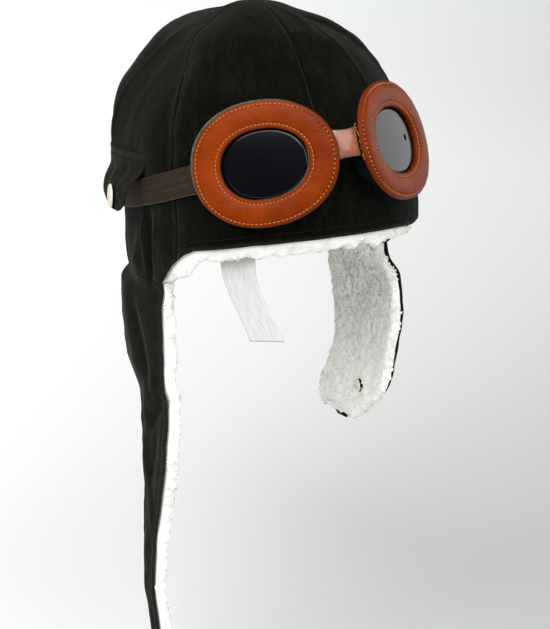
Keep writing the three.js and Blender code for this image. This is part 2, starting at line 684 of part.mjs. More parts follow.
function lensRim(side) {
  const frame = lensFrame(side);
  return ringGeometry(ringTurns(RIM_SEGMENTS).map(turn => RIM_SECTION.map(row => {
    const halfWidth = lerp(OPENING_WIDTH, RIM_WIDTH, row.across) / 2;
    const halfHeight = lerp(OPENING_HEIGHT, RIM_HEIGHT, row.across) / 2;
    const [along, high] = lensOutline(halfWidth, halfHeight, turn);
    return inLens(frame, along, high, row.depth * RIM_THICKNESS);
  })));
}

function lensPlate(side) {
  const frame = lensFrame(side);
  const layer = back => steps(2, 1, 0).map(size => ringTurns(RIM_SEGMENTS).map(turn => {
    const halfWidth = size * (OPENING_WIDTH / 2 + LENS_LAP);
    const halfHeight = size * (OPENING_HEIGHT / 2 + LENS_LAP);
    const [along, high] = lensOutline(halfWidth, halfHeight, turn);
    const dome = LENS_DOME * (1 - smoothstep(size, 0, DOME_EDGE));
    return inLens(frame, along, high, dome - CLEARANCE - back);
  }));
  return wallGeometry(layer(0), layer(LENS_THICKNESS), true);
}

// Where a point lies round the crown: its angle from the brow and the section it is level with
function roundCrown(point) {
  const row = rowAtHeight(point.z);
  const at = name => splineAt(SECTION_COLUMNS[name], row);
  const ahead = at('middle') - point.y;
  const reach = at(ahead > 0 ? 'front' : 'back');
  const beside = at(point.x < 0 ? 'right' : 'left');
  const angle = degrees(Math.atan2(-point.x / beside, ahead / reach));
  return { row, ahead, reach, beside, angle };
}

// Whether a point lies inside the folded crown, grown by a margin
function insideCrown(point, margin) {
  if (point.z > CROWN_HEIGHT + margin) return false;
  const { row, ahead, reach, beside, angle } = roundCrown(point);
  const upright = crownNormal(angle, row).setZ(0).length();
  const grown = (margin + foldHeight(angle, point.z)) / upright;
  return Math.hypot(point.x / (beside + grown), ahead / (reach + grown)) < 1;
}

// Depth behind a lens ring at which the crown is met
function crownDepth(frame, along, high, margin) {
  let [near, far] = [0, PAD_DEPTH];
  if (!insideCrown(inLens(frame, along, high, -far), margin)) return far;
  for (let i = 0; i < HALVINGS; i += 1) {
    const middle = (near + far) / 2;
    if (insideCrown(inLens(frame, along, high, -middle), margin)) far = middle;
    else near = middle;
  }
  return near;
}

// Eye cup between a ring and the crown, its back cut to the crown's curve
function gogglePad(side) {
  const frame = lensFrame(side);
  const innerWidth = OPENING_WIDTH / 2 + LENS_LAP + CLEARANCE;
  const innerHeight = OPENING_HEIGHT / 2 + LENS_LAP + CLEARANCE;
  const outerWidth = RIM_WIDTH / 2 - PAD_SETBACK;
  const outerHeight = RIM_HEIGHT / 2 - PAD_SETBACK;
  const sections = ringTurns(RIM_SEGMENTS).map(turn => {
    const inner = lensOutline(innerWidth, innerHeight, turn);
    const outer = lensOutline(outerWidth, outerHeight, turn);
    const foot = lensOutline(outerWidth - PAD_TAPER, outerHeight - PAD_TAPER, turn);
    const back = ([along, high]) =>
      Math.max(crownDepth(frame, along, high, PAD_GAP), 2 * CLEARANCE + BRIDGE_THICKNESS);
    return [
      inLens(frame, ...inner, -CLEARANCE),
      inLens(frame, ...outer, -CLEARANCE),
      inLens(frame, ...foot, -back(foot)),
      inLens(frame, ...inner, -back(inner)),
    ];
  });
  return ringGeometry(sections);
}

// Leather strip across the nose, tucked behind the edges of both rings
function goggleBridge() {
  const ends = [RIGHT, LEFT].map(side => {
    const frame = lensFrame(side);
    return { side, frame, along: -(RIM_WIDTH / 2 - PAD_SETBACK + CLEARANCE) };
  });
  const layer = back => steps(2, -0.5, 0.5).map(high => {
    const point = tuck => end =>
      inLens(end.frame, end.along - tuck, high * BRIDGE_HEIGHT, -CLEARANCE - back);
    const [a, b] = ends.map(point(0));
    const [c, d] = ends.map(point(BRIDGE_TUCK));
    return steps(6, 0, 1).map(t => new THREE.CubicBezierCurve3(a, c, d, b).getPoint(t));
  });
  return wallGeometry(layer(0), layer(BRIDGE_THICKNESS), false);
}

// Elastic strap on the crown, round the back from one goggle to the other
function goggleStrap() {
  const [first, last] = [RIGHT, LEFT].map(side =>
    roundCrown(inLens(lensFrame(side), RIM_WIDTH / 2 - STRAP_LAP, 0, 0)).angle);
  const angles = steps(STRAP_STEPS, first, 360 + last);
  const layer = out => steps(2, -0.5, 0.5).map(high => angles.map(angle => {
    const around = angle > 180 ? angle - 360 : angle;
    const middle = smoothTableAt(STRAP_PATH, 'angle', 'height', around) * CROWN_HEIGHT;
    const row = rowAtHeight(middle + high * STRAP_WIDTH);
    return crownAt(angle, row, -out);
  }));
  return wallGeometry(layer(STRAP_EASE + STRAP_THICKNESS), layer(STRAP_EASE), false);
}

// A point of a tab over the crown, at a drop share and a place across it, fore -1 to aft 1
function tabPoint(side, drop, across, inset) {
  const tilt = radians(TAB_TILT);
  const aside = across * tableAt(TAB_OUTLINE, 'drop', 'half', drop) * TAB_WIDTH / 2;
  const down = (drop - 0.5) * TAB_LENGTH;
  const height = TAB_TOP - TAB_LENGTH / 2 - down * Math.cos(tilt) - aside * Math.sin(tilt);
  const along = aside * Math.cos(tilt) - down * Math.sin(tilt);
  const angle = -side * (TAB_ANGLE + degrees(along / CROWN_SIDE));
  const lift = tableAt(TAB_OUTLINE, 'drop', 'lift', drop) * TAB_LIFT;
  return crownAt(angle, rowAtHeight(height), inset - CLEARANCE - CLOTH - lift);
}

function strapTab(side) {
  const layer = inset => TAB_OUTLINE.map(row =>
    steps(TAB_COLUMNS, -1, 1).map(across => tabPoint(side, row.drop, across, inset)));
  return wallGeometry(layer(0), layer(CLOTH), false);
}

// A snap's cap, turned, with its flat back at the origin and its face along Z
function snapCap(diameter, height) {
  const profile = SNAP_PROFILE.map(row => new THREE.Vector2(row.out * diameter / 2, row.rise * height));
  const cap = new THREE.LatheGeometry(profile, SNAP_SEGMENTS).rotateX(Math.PI / 2);
  cap.deleteAttribute('normal');
  cap.deleteAttribute('uv');
  const merged = mergeVertices(cap, MERGE_DISTANCE);
  const place = merged.getAttribute('position');
  const points = Array.from({ length: place.count }, (_, i) =>
    new THREE.Vector3().fromBufferAttribute(place, i));
  const index = merged.getIndex().array;
  const triangles = Array.from({ length: index.length / 3 }, (_, i) =>
    [index[3 * i], index[3 * i + 1], index[3 * i + 2]]);
  return closedGeometry(points, triangles);
}

function seat(mesh, point, normal) {
  mesh.position.copy(point);
  mesh.quaternion.setFromUnitVectors(new THREE.Vector3(0, 0, 1), normal);
  return mesh;
}

const hat = new THREE.Group();

function add(name, geometry, look) {
  geometry.computeVertexNormals();
  const mesh = new THREE.Mesh(geometry, look);
  mesh.name = name;
  hat.add(mesh);
  return mesh;
}

function addTab(side, name) {
  add(`strap_tab_${name}`, strapTab(side), COTTON);
  const middle = tabPoint(side, TAB_SNAP_DROP, TAB_SNAP_ACROSS, 0);
  const above = tabPoint(side, TAB_SNAP_DROP - SNAP_TILT_STEP, TAB_SNAP_ACROSS, 0);
  const fore = tabPoint(side, TAB_SNAP_DROP, TAB_SNAP_ACROSS - SNAP_TILT_STEP, 0);
  const normal = above.sub(middle).cross(fore.sub(middle)).normalize();
  if (normal.x * side < 0) normal.negate();
  const cap = add(`tab_snap_${name}`, snapCap(SNAP_DIAMETER, SNAP_HEIGHT), NICKEL);
  seat(cap, middle.addScaledVector(normal, 2 * CLEARANCE), normal);
}

function addFlapSnap() {
  const at = inset =>
    flapAt(LEFT, LEFT_FLAP, LEFT_FLAP_LENGTH, FLAP_SNAP_DROP, FLAP_SNAP_ACROSS, inset);
  const middle = at(CLOTH + CLEARANCE + PILE + FLAP_SNAP_RISE);
  const outside = at(0);
  const normal = middle.clone().sub(outside).normalize();
  seat(add('flap_snap', snapCap(FLAP_SNAP_DIAMETER, SNAP_HEIGHT), NICKEL), middle, normal);
}

// Blank label that hangs inside the front edge and curls to the left as it falls
function sewnLabel() {
  const top = edgeHeight(LABEL_ANGLE) + PILE_ROLL;
  const half = degrees(LABEL_WIDTH / 2 / CROWN_FRONT);
  const [a, b] = [half, -half].map(turn =>
    crownAt(LABEL_ANGLE + turn, rowAtHeight(top), CLOTH + 2 * CLEARANCE + PILE));
  const across = b.clone().sub(a).normalize();
  const inward = new THREE.Vector3(-across.y, across.x, 0).normalize();
  if (inward.y < 0) inward.negate();
  const layer = depth => steps(LABEL_STEPS, 0, 1).map(share => {
    const start = a.clone().addScaledVector(inward, LABEL_GAP + LABEL_CURL * share + depth);
    start.addScaledVector(across, LABEL_SLIDE * smoothstep(share, LABEL_BEND.start, LABEL_BEND.end));
    start.z = top - LABEL_LENGTH * share;
    const end = start.clone().addScaledVector(across, LABEL_WIDTH);
    end.z += LABEL_TWIST * smoothstep(share, LABEL_BEND.twist, 1);
    return steps(2, 0, 1).map(t => start.clone().lerp(end, t));
  });
  return wallGeometry(layer(0), layer(LABEL_THICKNESS), false);
}

const panels = crownPanels();
add('front_panel', panels.front, COTTON);
add('side_panel_right', panels.right, COTTON);
add('side_panel_left', panels.left, COTTON);
add('crown_lining', crownLining(), SHERPA);
add('ear_flap_right', flapShell(RIGHT, RIGHT_FLAP, RIGHT_FLAP_LENGTH), COTTON);
add('ear_flap_left', flapShell(LEFT, LEFT_FLAP, LEFT_FLAP_LENGTH), COTTON);
add('flap_lining_right', flapLining(RIGHT, RIGHT_FLAP, RIGHT_FLAP_LENGTH, RIGHT_PILE_MARGIN), SHERPA);
add('flap_lining_left', flapLining(LEFT, LEFT_FLAP, LEFT_FLAP_LENGTH, LEFT_PILE_MARGIN), SHERPA);
for (const [side, name] of [[RIGHT, 'right'], [LEFT, 'left']]) {
  addTab(side, name);
  add(`lens_rim_${name}`, lensRim(side), LEATHER);
  add(`goggle_pad_${name}`, gogglePad(side), PAD_FOAM);
  add(`lens_${name}`, lensPlate(side), DARK_LENS);
}
add('goggle_bridge', goggleBridge(), LEATHER);
add('goggle_strap', goggleStrap(), ELASTIC);
add('sewn_label', sewnLabel(), SATIN);
addFlapSnap();

export default hat;
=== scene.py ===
"""Winter pilot hat of black cotton, with a curled pile lining, ear flaps and leather-rimmed goggles.

Metres, +Z up. The face looks along -Y and the wearer's right is -X. Angles round the crown
are in degrees from the brow, positive towards the wearer's right.
"""

import logging
import math
import random
from bisect import bisect_left, bisect_right
from dataclasses import dataclass, field
from enum import Enum
from typing import Callable, Sequence, TypeVar

import bmesh
import bpy
from bmesh.types import BMEdge, BMesh, BMFace, BMVert
from bpy.types import Light, Material, Mesh, Node, NodeSocket, Object
from mathutils import Matrix, Vector, noise

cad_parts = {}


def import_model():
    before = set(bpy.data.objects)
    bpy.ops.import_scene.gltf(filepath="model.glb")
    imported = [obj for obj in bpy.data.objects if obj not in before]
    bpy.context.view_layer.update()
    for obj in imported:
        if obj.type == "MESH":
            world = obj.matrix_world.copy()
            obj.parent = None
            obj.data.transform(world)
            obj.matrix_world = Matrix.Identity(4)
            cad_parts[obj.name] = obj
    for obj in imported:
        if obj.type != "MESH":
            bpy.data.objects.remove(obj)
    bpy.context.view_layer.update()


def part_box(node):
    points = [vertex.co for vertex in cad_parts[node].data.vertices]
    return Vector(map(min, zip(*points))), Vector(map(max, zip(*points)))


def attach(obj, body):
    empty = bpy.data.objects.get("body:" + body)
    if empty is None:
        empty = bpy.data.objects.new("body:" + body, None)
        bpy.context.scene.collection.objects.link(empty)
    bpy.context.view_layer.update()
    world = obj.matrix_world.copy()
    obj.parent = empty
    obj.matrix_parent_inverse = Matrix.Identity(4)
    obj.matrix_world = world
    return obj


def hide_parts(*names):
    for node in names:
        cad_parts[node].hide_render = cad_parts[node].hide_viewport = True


MM = 0.001
BODY = "root"
LOG = logging.getLogger("pilot_hat")

Row = TypeVar("Row")
Spot = tuple[Vector, float]
Place = Callable[[float, float], Spot]
Trace = Callable[[float], tuple[Vector, Vector]]
AngleAt = Callable[[float], float]


class Side(Enum):
    """A side of the wearer, with the sign of its X."""

    RIGHT = -1
    LEFT = 1

    @property
    def word(self) -> str:
        """The side's name as the nodes spell it."""
        return self.name.lower()


class Slot(Enum):
    """The record's material slots."""

    COTTON = "cotton"
    SHERPA = "sherpa"
    LEATHER = "leather"
    ELASTIC = "elastic"
    PAD_FOAM = "pad_foam"
    DARK_LENS = "dark_lens"
    NICKEL = "nickel"
    SATIN = "satin"


@dataclass(frozen=True)
class Section:
    """A level section of the crown, as shares of its sizes."""

    height: float
    front: float
    back: float
    right: float
    left: float
    middle: float


@dataclass(frozen=True)
class EdgeRow:
    """A place on the crown's lower edge: its angle on each side and its share of the drop."""

    right: float
    left: float
    drop: float


@dataclass(frozen=True)
class Fold:
    """A ridge or valley in the crown, sized as shares of the crown and of the fold depth."""

    angle: float
    height: float
    length: float
    width: float
    lean: float
    depth: float


@dataclass(frozen=True)
class SeamPoint:
    """A point of the front seam in plan, as shares of the crown's half width and front."""

    side: float
    front: float


@dataclass(frozen=True)
class FlapRow:
    """A level of an ear flap: share of its length, edges as shares of its width, spreads."""

    drop: float
    fore: float
    aft: float
    fore_out: float
    mid_out: float
    aft_out: float


@dataclass(frozen=True)
class FlapFold:
    """A fold in a flap: share of its length, lengths as shares of its width, and a depth."""

    side: Side
    drop: float
    aft: float
    length: float
    width: float
    lean: float
    depth: float


@dataclass(frozen=True)
class StrapPoint:
    """Height of the strap's middle at an angle, as a share of the crown's height."""

    angle: float
    height: float


@dataclass(frozen=True)
class TabRow:
    """A level of a strap tab, as shares of its length, half width and lift."""

    drop: float
    half: float
    lift: float


@dataclass(frozen=True)
class RingPoint:
    """A point of the leather ring's section, as shares of its width and thickness."""

    across: float
    depth: float


def rows_of(kind: type[Row], values: Sequence[Sequence[float | Side]]) -> tuple[Row, ...]:
    """Table rows of one kind, each from its fields' values in their order."""
    return tuple(kind(*value) for value in values)


CROWN_SECTIONS = rows_of(Section, (
    (-0.56, 0.96, 0.64, 0.93, 0.94, 0), (-0.36, 0.985, 0.7, 0.955, 0.97, 0),
    (-0.14, 1, 0.77, 0.955, 1.09, 0), (0.04, 1, 0.86, 0.965, 1.075, 0), (0.22, 0.97, 0.94, 1, 1.03, 0),
    (0.41, 0.915, 0.995, 0.985, 0.975, 0), (0.565, 0.81, 1, 0.89, 0.9, 0.01),
    (0.73, 0.655, 0.89, 0.695, 0.79, 0.03), (0.86, 0.48, 0.715, 0.52, 0.61, 0.06),
    (0.93, 0.3, 0.455, 0.33, 0.4, 0.09), (0.985, 0.1, 0.19, 0.14, 0.18, 0.13),
))

CROWN_EDGE = rows_of(EdgeRow, (
    (0, 0, 0.11), (15, 15, 0.13), (30, 30, 0.19), (45, 45, 0.3), (54, 60, 0.38), (59, 69, 0.48),
    (64, 75, 0.66), (69, 80, 0.93), (71, 83, 1), (128, 138, 1), (150, 155, 1.07), (180, 180, 1.16),
))

# Main folds, the same as in the solids
MAIN_FOLDS = rows_of(Fold, (
    (0, 0.66, 0.3, 0.03, 0, -0.4), (0, 0.34, 0.27, 0.36, 0, 1), (96, 0.56, 0.3, 0.09, 4, 0.55),
    (109, 0.55, 0.27, 0.1, 10, -0.95), (122, 0.78, 0.15, 0.22, 0, 0.25), (92, 0.03, 0.14, 0.5, 0, -0.3),
    (77, -0.2, 0.2, 0.035, 0, -0.5), (85, -0.24, 0.14, 0.05, 12, 0.4), (-52, 0.8, 0.16, 0.06, -30, 0.35),
    (-66, 0.76, 0.18, 0.1, -24, -0.7), (-77, -0.2, 0.2, 0.035, 0, -0.4), (-20, 0.9, 0.18, 0.04, 75, 0.25),
    (168, 0.1, 0.3, 0.12, 8, -0.4),
))

# Fine creases that only the cloth shows
FINE_FOLDS = rows_of(Fold, (
    (2, 0.68, 0.22, 0.017, 2, -0.42), (4.2, 0.66, 0.16, 0.016, 2, 0.12),
    (77.2, -0.2, 0.17, 0.012, 2, -0.34), (73.6, -0.16, 0.16, 0.016, 6, 0.16),
    (80.5, -0.2, 0.16, 0.018, -5, 0.18), (88, -0.3, 0.1, 0.02, 25, 0.16),
    (101, -0.3, 0.1, 0.025, -18, 0.18), (66, -0.3, 0.08, 0.016, -22, 0.12), (84, 0.45, 0.24, 0.04, 8, 0.1),
    (96.5, 0.56, 0.3, 0.022, 5, 0.34), (101.5, 0.54, 0.28, 0.035, 8, -0.5), (70, 0.3, 0.3, 0.1, -6, 0.16),
    (62, 0.5, 0.26, 0.05, -10, -0.12), (-14, 0.88, 0.16, 0.02, 66, 0.12), (-28, 0.8, 0.2, 0.03, -12, 0.1),
    (30, 0.9, 0.1, 0.03, -30, -0.08), (142, 0.2, 0.3, 0.04, 20, 0.14), (-130, 0.25, 0.3, 0.05, -16, 0.16),
    (-100, -0.28, 0.12, 0.03, 18, 0.16), (-86, 0.5, 0.3, 0.05, -8, 0.12),
))

FRONT_SEAM = rows_of(SeamPoint, (
    (1.2, 0.86), (0.85, 0.5), (0.72, 0.32), (0.5, 0.07), (0.2, -0.11),
))

RIGHT_FLAP = rows_of(FlapRow, (
    (0, -0.43, 0.6, 0.93, 0.98, 0.84), (0.05, -0.4, 0.585, 0.95, 1.035, 0.935),
    (0.16, -0.41, 0.56, 0.957, 1.035, 0.955), (0.24, -0.45, 0.5, 0.969, 1.025, 0.95),
    (0.305, -0.48, 0.32, 0.962, 0.99, 0.921), (0.375, -0.46, 0.13, 0.979, 0.985, 0.969),
    (0.45, -0.4, 0.09, 0.979, 0.99, 0.985), (0.52, -0.31, 0.07, 0.98, 0.99, 0.988),
    (0.6, -0.21, 0.14, 0.98, 0.985, 0.979), (0.68, -0.15, 0.19, 0.995, 0.988, 0.971),
    (0.79, -0.125, 0.21, 1.013, 1, 0.975), (0.86, -0.155, 0.18, 1, 0.99, 0.97),
    (0.93, -0.2, 0.13, 0.995, 0.98, 0.95), (0.97, -0.19, 0.1, 0.985, 0.97, 0.945),
    (0.99, -0.14, 0.05, 0.975, 0.965, 0.945), (1, -0.07, -0.02, 0.965, 0.96, 0.955),
))

LEFT_FLAP = rows_of(FlapRow, (
    (0, -0.18, 0.75, 0.95, 1, 0.8), (0.1, -0.36, 0.64, 1.017, 1.062, 0.942),
    (0.22, -0.43, 0.57, 1.032, 1.052, 0.947), (0.36, -0.44, 0.49, 1.036, 1.042, 0.95),
    (0.5, -0.44, 0.4, 1.002, 1.017, 0.926), (0.64, -0.42, 0.39, 0.977, 0.982, 0.892),
    (0.74, -0.34, 0.45, 0.962, 0.947, 0.872), (0.84, -0.19, 0.51, 0.952, 0.917, 0.852),
    (0.92, -0.03, 0.49, 0.927, 0.892, 0.842), (0.97, 0.09, 0.43, 0.902, 0.877, 0.842),
    (1, 0.22, 0.32, 0.877, 0.867, 0.852),
))

# Soft folds in the flaps' cloth
FLAP_FOLDS = rows_of(FlapFold, (
    (Side.RIGHT, 0.3, -0.33, 0.22, 0.05, 42, -0.55), (Side.RIGHT, 0.27, -0.2, 0.3, 0.09, 36, 0.4),
    (Side.RIGHT, 0.14, 0.1, 0.4, 0.1, -16, 0.4), (Side.RIGHT, 0.16, -0.12, 0.36, 0.05, -20, -0.3),
    (Side.RIGHT, 0.4, -0.04, 0.4, 0.07, 12, 0.35), (Side.RIGHT, 0.42, -0.22, 0.3, 0.045, 20, -0.3),
    (Side.RIGHT, 0.56, -0.1, 0.4, 0.06, -10, 0.3), (Side.RIGHT, 0.72, 0.04, 0.44, 0.07, 8, 0.35),
    (Side.RIGHT, 0.88, -0.02, 0.3, 0.06, -14, 0.25), (Side.LEFT, 0.3, 0.1, 0.4, 0.1, 14, 0.35),
    (Side.LEFT, 0.6, -0.06, 0.36, 0.06, -24, -0.3),
))

STRAP_PATH = rows_of(StrapPoint, (
    (-180, -0.16), (-135, -0.09), (-105, -0.01), (-90, 0.05), (-70, 0.15), (-47, 0.31), (47, 0.25),
    (70, 0.14), (90, 0.045), (105, -0.01), (135, -0.1), (180, -0.16),
))

TAB_OUTLINE = rows_of(TabRow, (
    (0, 1, 0), (0.12, 0.94, 0.02), (0.3, 0.83, 0.16), (0.5, 0.67, 0.72), (0.66, 0.59, 0.96),
    (0.8, 0.5, 1), (0.9, 0.37, 1.02), (0.96, 0.27, 1.02), (1, 0.14, 1.02),
))

RING_SECTION = rows_of(RingPoint, (
    (0.03, 0), (0, 0.12), (0, 0.5), (0.025, 0.7), (0.07, 0.8), (0.12, 0.8), (0.155, 0.74), (0.19, 0.84),
    (0.28, 0.95), (0.45, 1), (0.62, 0.98), (0.76, 0.88), (0.82, 0.77), (0.85, 0.7), (0.885, 0.7),
    (0.94, 0.64), (0.985, 0.5), (1, 0.38), (1, 0.1), (0.985, 0),
))


def lerp(start: float, end: float, share: float) -> float:
    """The value at a share of the way from start to end."""
    return start + (end - start) * share


def smoothstep(value: float, low: float, high: float) -> float:
    """0 below low, 1 above high, and a smooth rise between them."""
    share = min(max((value - low) / (high - low), 0.0), 1.0)
    return share * share * (3 - 2 * share)


def bell(distance: float, width: float) -> float:
    """1 at no distance, falling smoothly to 0 over about two widths."""
    return math.exp(-((distance / width) ** 2))


def signed_power(value: float, power: float) -> float:
    """A power of a value's size, with the value's sign, which squares off a round section."""
    return math.copysign(abs(value) ** power, value)


def spline_at(values: Sequence[float], t: float) -> float:
    """Catmull-Rom value at t, where t counts the entries.

    Args:
        values: Values to pass through.
        t: Place in the list, from 0 to its last index.

    Returns:
        The smooth value there.
    """
    last = len(values) - 1
    index = min(max(int(math.floor(t)), 0), last - 1)
    s = t - index
    a = values[max(index - 1, 0)]
    b = values[index]
    c = values[index + 1]
    d = values[min(index + 2, last)]
    slope = (c - a) * s
    curve = (2 * a - 5 * b + 4 * c - d) * s * s
    twist = (3 * b - a - 3 * c + d) * s * s * s
    return 0.5 * (2 * b + slope + curve + twist)


class Table:
    """Columns of a table of rows, read at a value of its key column."""

    def __init__(self, rows: Sequence[object], key: str) -> None:
        """Takes the rows apart.

        Args:
            rows: Dataclass rows in rising order of the key.
            key: Name of the key column.
        """
        self.keys = [getattr(row, key) for row in rows]
        self.columns = {name: [getattr(row, name) for row in rows] for name in vars(rows[0])}

    def place(self, where: float) -> float:
        """The place in the list, with its share between rows, of a key value."""
        if where <= self.keys[0]:
            return 0.0
        if where >= self.keys[-1]:
            return float(len(self.keys) - 1)
        after = bisect_left(self.keys, where)
        low, high = self.keys[after - 1], self.keys[after]
        return after - 1 + (where - low) / (high - low)

    def linear(self, column: str, where: float) -> float:
        """The column's value, straight between rows."""
        t = self.place(where)
        index = min(int(t), len(self.keys) - 2)
        values = self.columns[column]
        return lerp(values[index], values[index + 1], t - index)

    def smooth(self, column: str, where: float) -> float:
        """The column's value, smooth through the rows."""
        return spline_at(self.columns[column], self.place(where))


def from_brow(angle: float) -> float:
    """An angle brought between -180 and 180 degrees."""
    return (angle + 180) % 360 - 180


class CrownForm:
    """The crown's outside surface, by an angle from the brow and a section row."""

    HEIGHT = 115 * MM
    SIDE = 90 * MM
    FRONT = 104 * MM
    BACK = 120 * MM
    DROP = 43 * MM
    FOLD_DEPTH = 5 * MM
    APEX_SETBACK = 0.147
    FLAP_EASE = 7.5
    ROW_SAMPLES = 600
    SEAM_SAMPLES = 240

    def __init__(self) -> None:
        """Works out the section lengths and the table of rows by height."""
        rows = [
            {
                "height": row.height * self.HEIGHT,
                "middle": row.middle * self.BACK,
                "front": row.front * self.FRONT + row.middle * self.BACK,
                "back": (row.back - row.middle) * self.BACK,
                "right": row.right * self.SIDE,
                "left": row.left * self.SIDE,
            }
            for row in CROWN_SECTIONS
        ]
        apex = self.APEX_SETBACK * self.BACK
        top = {"height": self.HEIGHT, "middle": apex, "front": 0.0, "back": 0.0, "right": 0.0, "left": 0.0}
        beyond = [self._mirrored(row, apex) for row in reversed(rows[-2:])]
        every = [*rows, top, *beyond]
        self.columns = {name: [row[name] for row in every] for name in top}
        self.top_row = float(len(rows))
        self.edge_right = Table(CROWN_EDGE, "right")
        self.edge_left = Table(CROWN_EDGE, "left")
        self.seam = sorted(((p.side * self.SIDE, -p.front * self.FRONT) for p in FRONT_SEAM), reverse=True)
        self.seam.append((0.0, apex))
        self.sampled_rows = [self.top_row * i / self.ROW_SAMPLES for i in range(self.ROW_SAMPLES + 1)]
        self.sampled_heights = [self.length("height", row) for row in self.sampled_rows]
        samples = [self.top_row * i / self.SEAM_SAMPLES for i in range(self.SEAM_SAMPLES + 1)]
        self.seam_angles = {side: [self._seam_crossing(side, row) for row in samples] for side in Side}

    @staticmethod
    def _mirrored(row: dict[str, float], apex: float) -> dict[str, float]:
        """A section carried past the top, so that the crown is round there."""
        turned = {name: -value for name, value in row.items()}
        turned["height"] = row["height"]
        turned["middle"] = 2 * apex - row["middle"]
        return turned

    def length(self, name: str, row: float) -> float:
        """A section length at a row, such as "front" or "height"."""
        return spline_at(self.columns[name], row)

    def spans(self, ahead: float, aside: float, row: float) -> tuple[float, float]:
        """A section's lengths towards a place: to its front or back, and to its side."""
        reach = self.length("front" if ahead > 0 else "back", row)
        return reach, self.length("right" if aside < 0 else "left", row)

    def degree(self, angle: float, row: float) -> float:
        """How far a degree of angle reaches over the cloth."""
        return (self.plain(angle + 0.5, row) - self.plain(angle - 0.5, row)).length

    def row_at(self, height: float) -> float:
        """The section row at a height."""
        heights = self.sampled_heights
        after = min(max(bisect_left(heights, height), 1), len(heights) - 1)
        low, high = heights[after - 1], heights[after]
        share = min(max((height - low) / max(high - low, 1e-9), 0.0), 1.0)
        return lerp(self.sampled_rows[after - 1], self.sampled_rows[after], share)

    def plain(self, angle: float, row: float) -> Vector:
        """The smooth, unfolded surface."""
        turn = math.radians(angle)
        reach, beside = self.spans(math.cos(turn), -math.sin(turn), row)
        y = self.length("middle", row) - reach * math.cos(turn)
        return Vector((-beside * math.sin(turn), y, self.length("height", row)))

    def normal(self, angle: float, row: float) -> Vector:
        """The outward normal of the smooth surface."""
        step = 0.02
        if row > self.top_row - step:
            return Vector((0, 0, 1))
        around = self.plain(angle + 1, row) - self.plain(angle - 1, row)
        rise = self.plain(angle, row + step) - self.plain(angle, row - step)
        return rise.cross(around).normalized()

    def fold_height(self, folds: Sequence[Fold], angle: float, height: float) -> float:
        """How far folds push the cloth out at a place."""
        total = 0.0
        for fold in folds:
            across = math.radians(from_brow(angle - fold.angle)) * self.SIDE
            up = height - fold.height * self.HEIGHT
            lean = math.radians(fold.lean)
            along = up * math.cos(lean) - across * math.sin(lean)
            aside = across * math.cos(lean) + up * math.sin(lean)
            reach = along / (fold.length * self.HEIGHT)
            spread = aside / (fold.width * self.SIDE)
            if abs(reach) < 2 and abs(spread) < 3:
                total += fold.depth * self.FOLD_DEPTH * math.exp(-spread * spread - reach**4)
        return total

    def at(self, angle: float, row: float, inset: float = 0.0) -> Vector:
        """A point of the folded crown, moved in from the outside of its cloth.

        Args:
            angle: Degrees from the brow.
            row: Section row.
            inset: Distance in, along the normal, in metres.

        Returns:
            The point.
        """
        point = self.plain(angle, row)
        flat = smoothstep(self.top_row - row, 0, 1)
        out = self.fold_height(MAIN_FOLDS, angle, point.z) * flat - inset
        return point + self.normal(angle, row) * out

    def angle_of(self, point: Vector) -> float:
        """Angle from the brow of a point beside the crown."""
        row = self.row_at(point.z)
        ahead = self.length("middle", row) - point.y
        reach, beside = self.spans(ahead, point.x, row)
        return math.degrees(math.atan2(-point.x / beside, ahead / reach))

    def edge_height(self, angle: float) -> float:
        """Height of the crown's lower edge."""
        around = from_brow(angle)
        table = self.edge_right if around > 0 else self.edge_left
        return -table.linear("drop", abs(around)) * self.DROP

    def flap_share(self, angle: float) -> float:
        """Share of the edge that carries a flap at an angle, from 0 to 1."""
        around = from_brow(angle)
        side = "right" if around > 0 else "left"
        fore, aft = (getattr(row, side) for row in CROWN_EDGE if row.drop == 1)
        size = abs(around)
        leading = smoothstep(size, fore - self.FLAP_EASE, fore)
        return leading * (1 - smoothstep(size, aft, aft + self.FLAP_EASE))

    def seam_y(self, aside: float) -> float:
        """Y of the front seam at a distance from the middle plane."""
        for (far, low), (near, high) in zip(self.seam, self.seam[1:]):
            if aside >= near:
                share = (aside - near) / (far - near)
                return lerp(high, low, min(share, 1.2))
        return self.seam[-1][1]

    def seam_angle(self, side: Side, row: float) -> float:
        """Angle of the front seam at a row."""
        t = min(max(row / self.top_row, 0.0), 1.0) * self.SEAM_SAMPLES
        index = min(int(t), self.SEAM_SAMPLES - 1)
        angles = self.seam_angles[side]
        return lerp(angles[index], angles[index + 1], t - index)

    def _seam_crossing(self, side: Side, row: float) -> float:
        """Angle at which a section crosses the front seam, by halving."""
        low, high = 10.0, 150.0
        for _ in range(26):
            middle = (low + high) / 2
            point = self.plain(-side.value * middle, row)
            if point.y < self.seam_y(abs(point.x)):
                low = middle
            else:
                high = middle
        return -side.value * (low + high) / 2


@dataclass(frozen=True)
class Detail:
    """How finely the surfaces are divided."""

    share: float

    def count(self, full: int) -> int:
        """A number of divisions at this fineness."""
        return max(int(full * self.share), 4)


FULL = Detail(share=1.0)


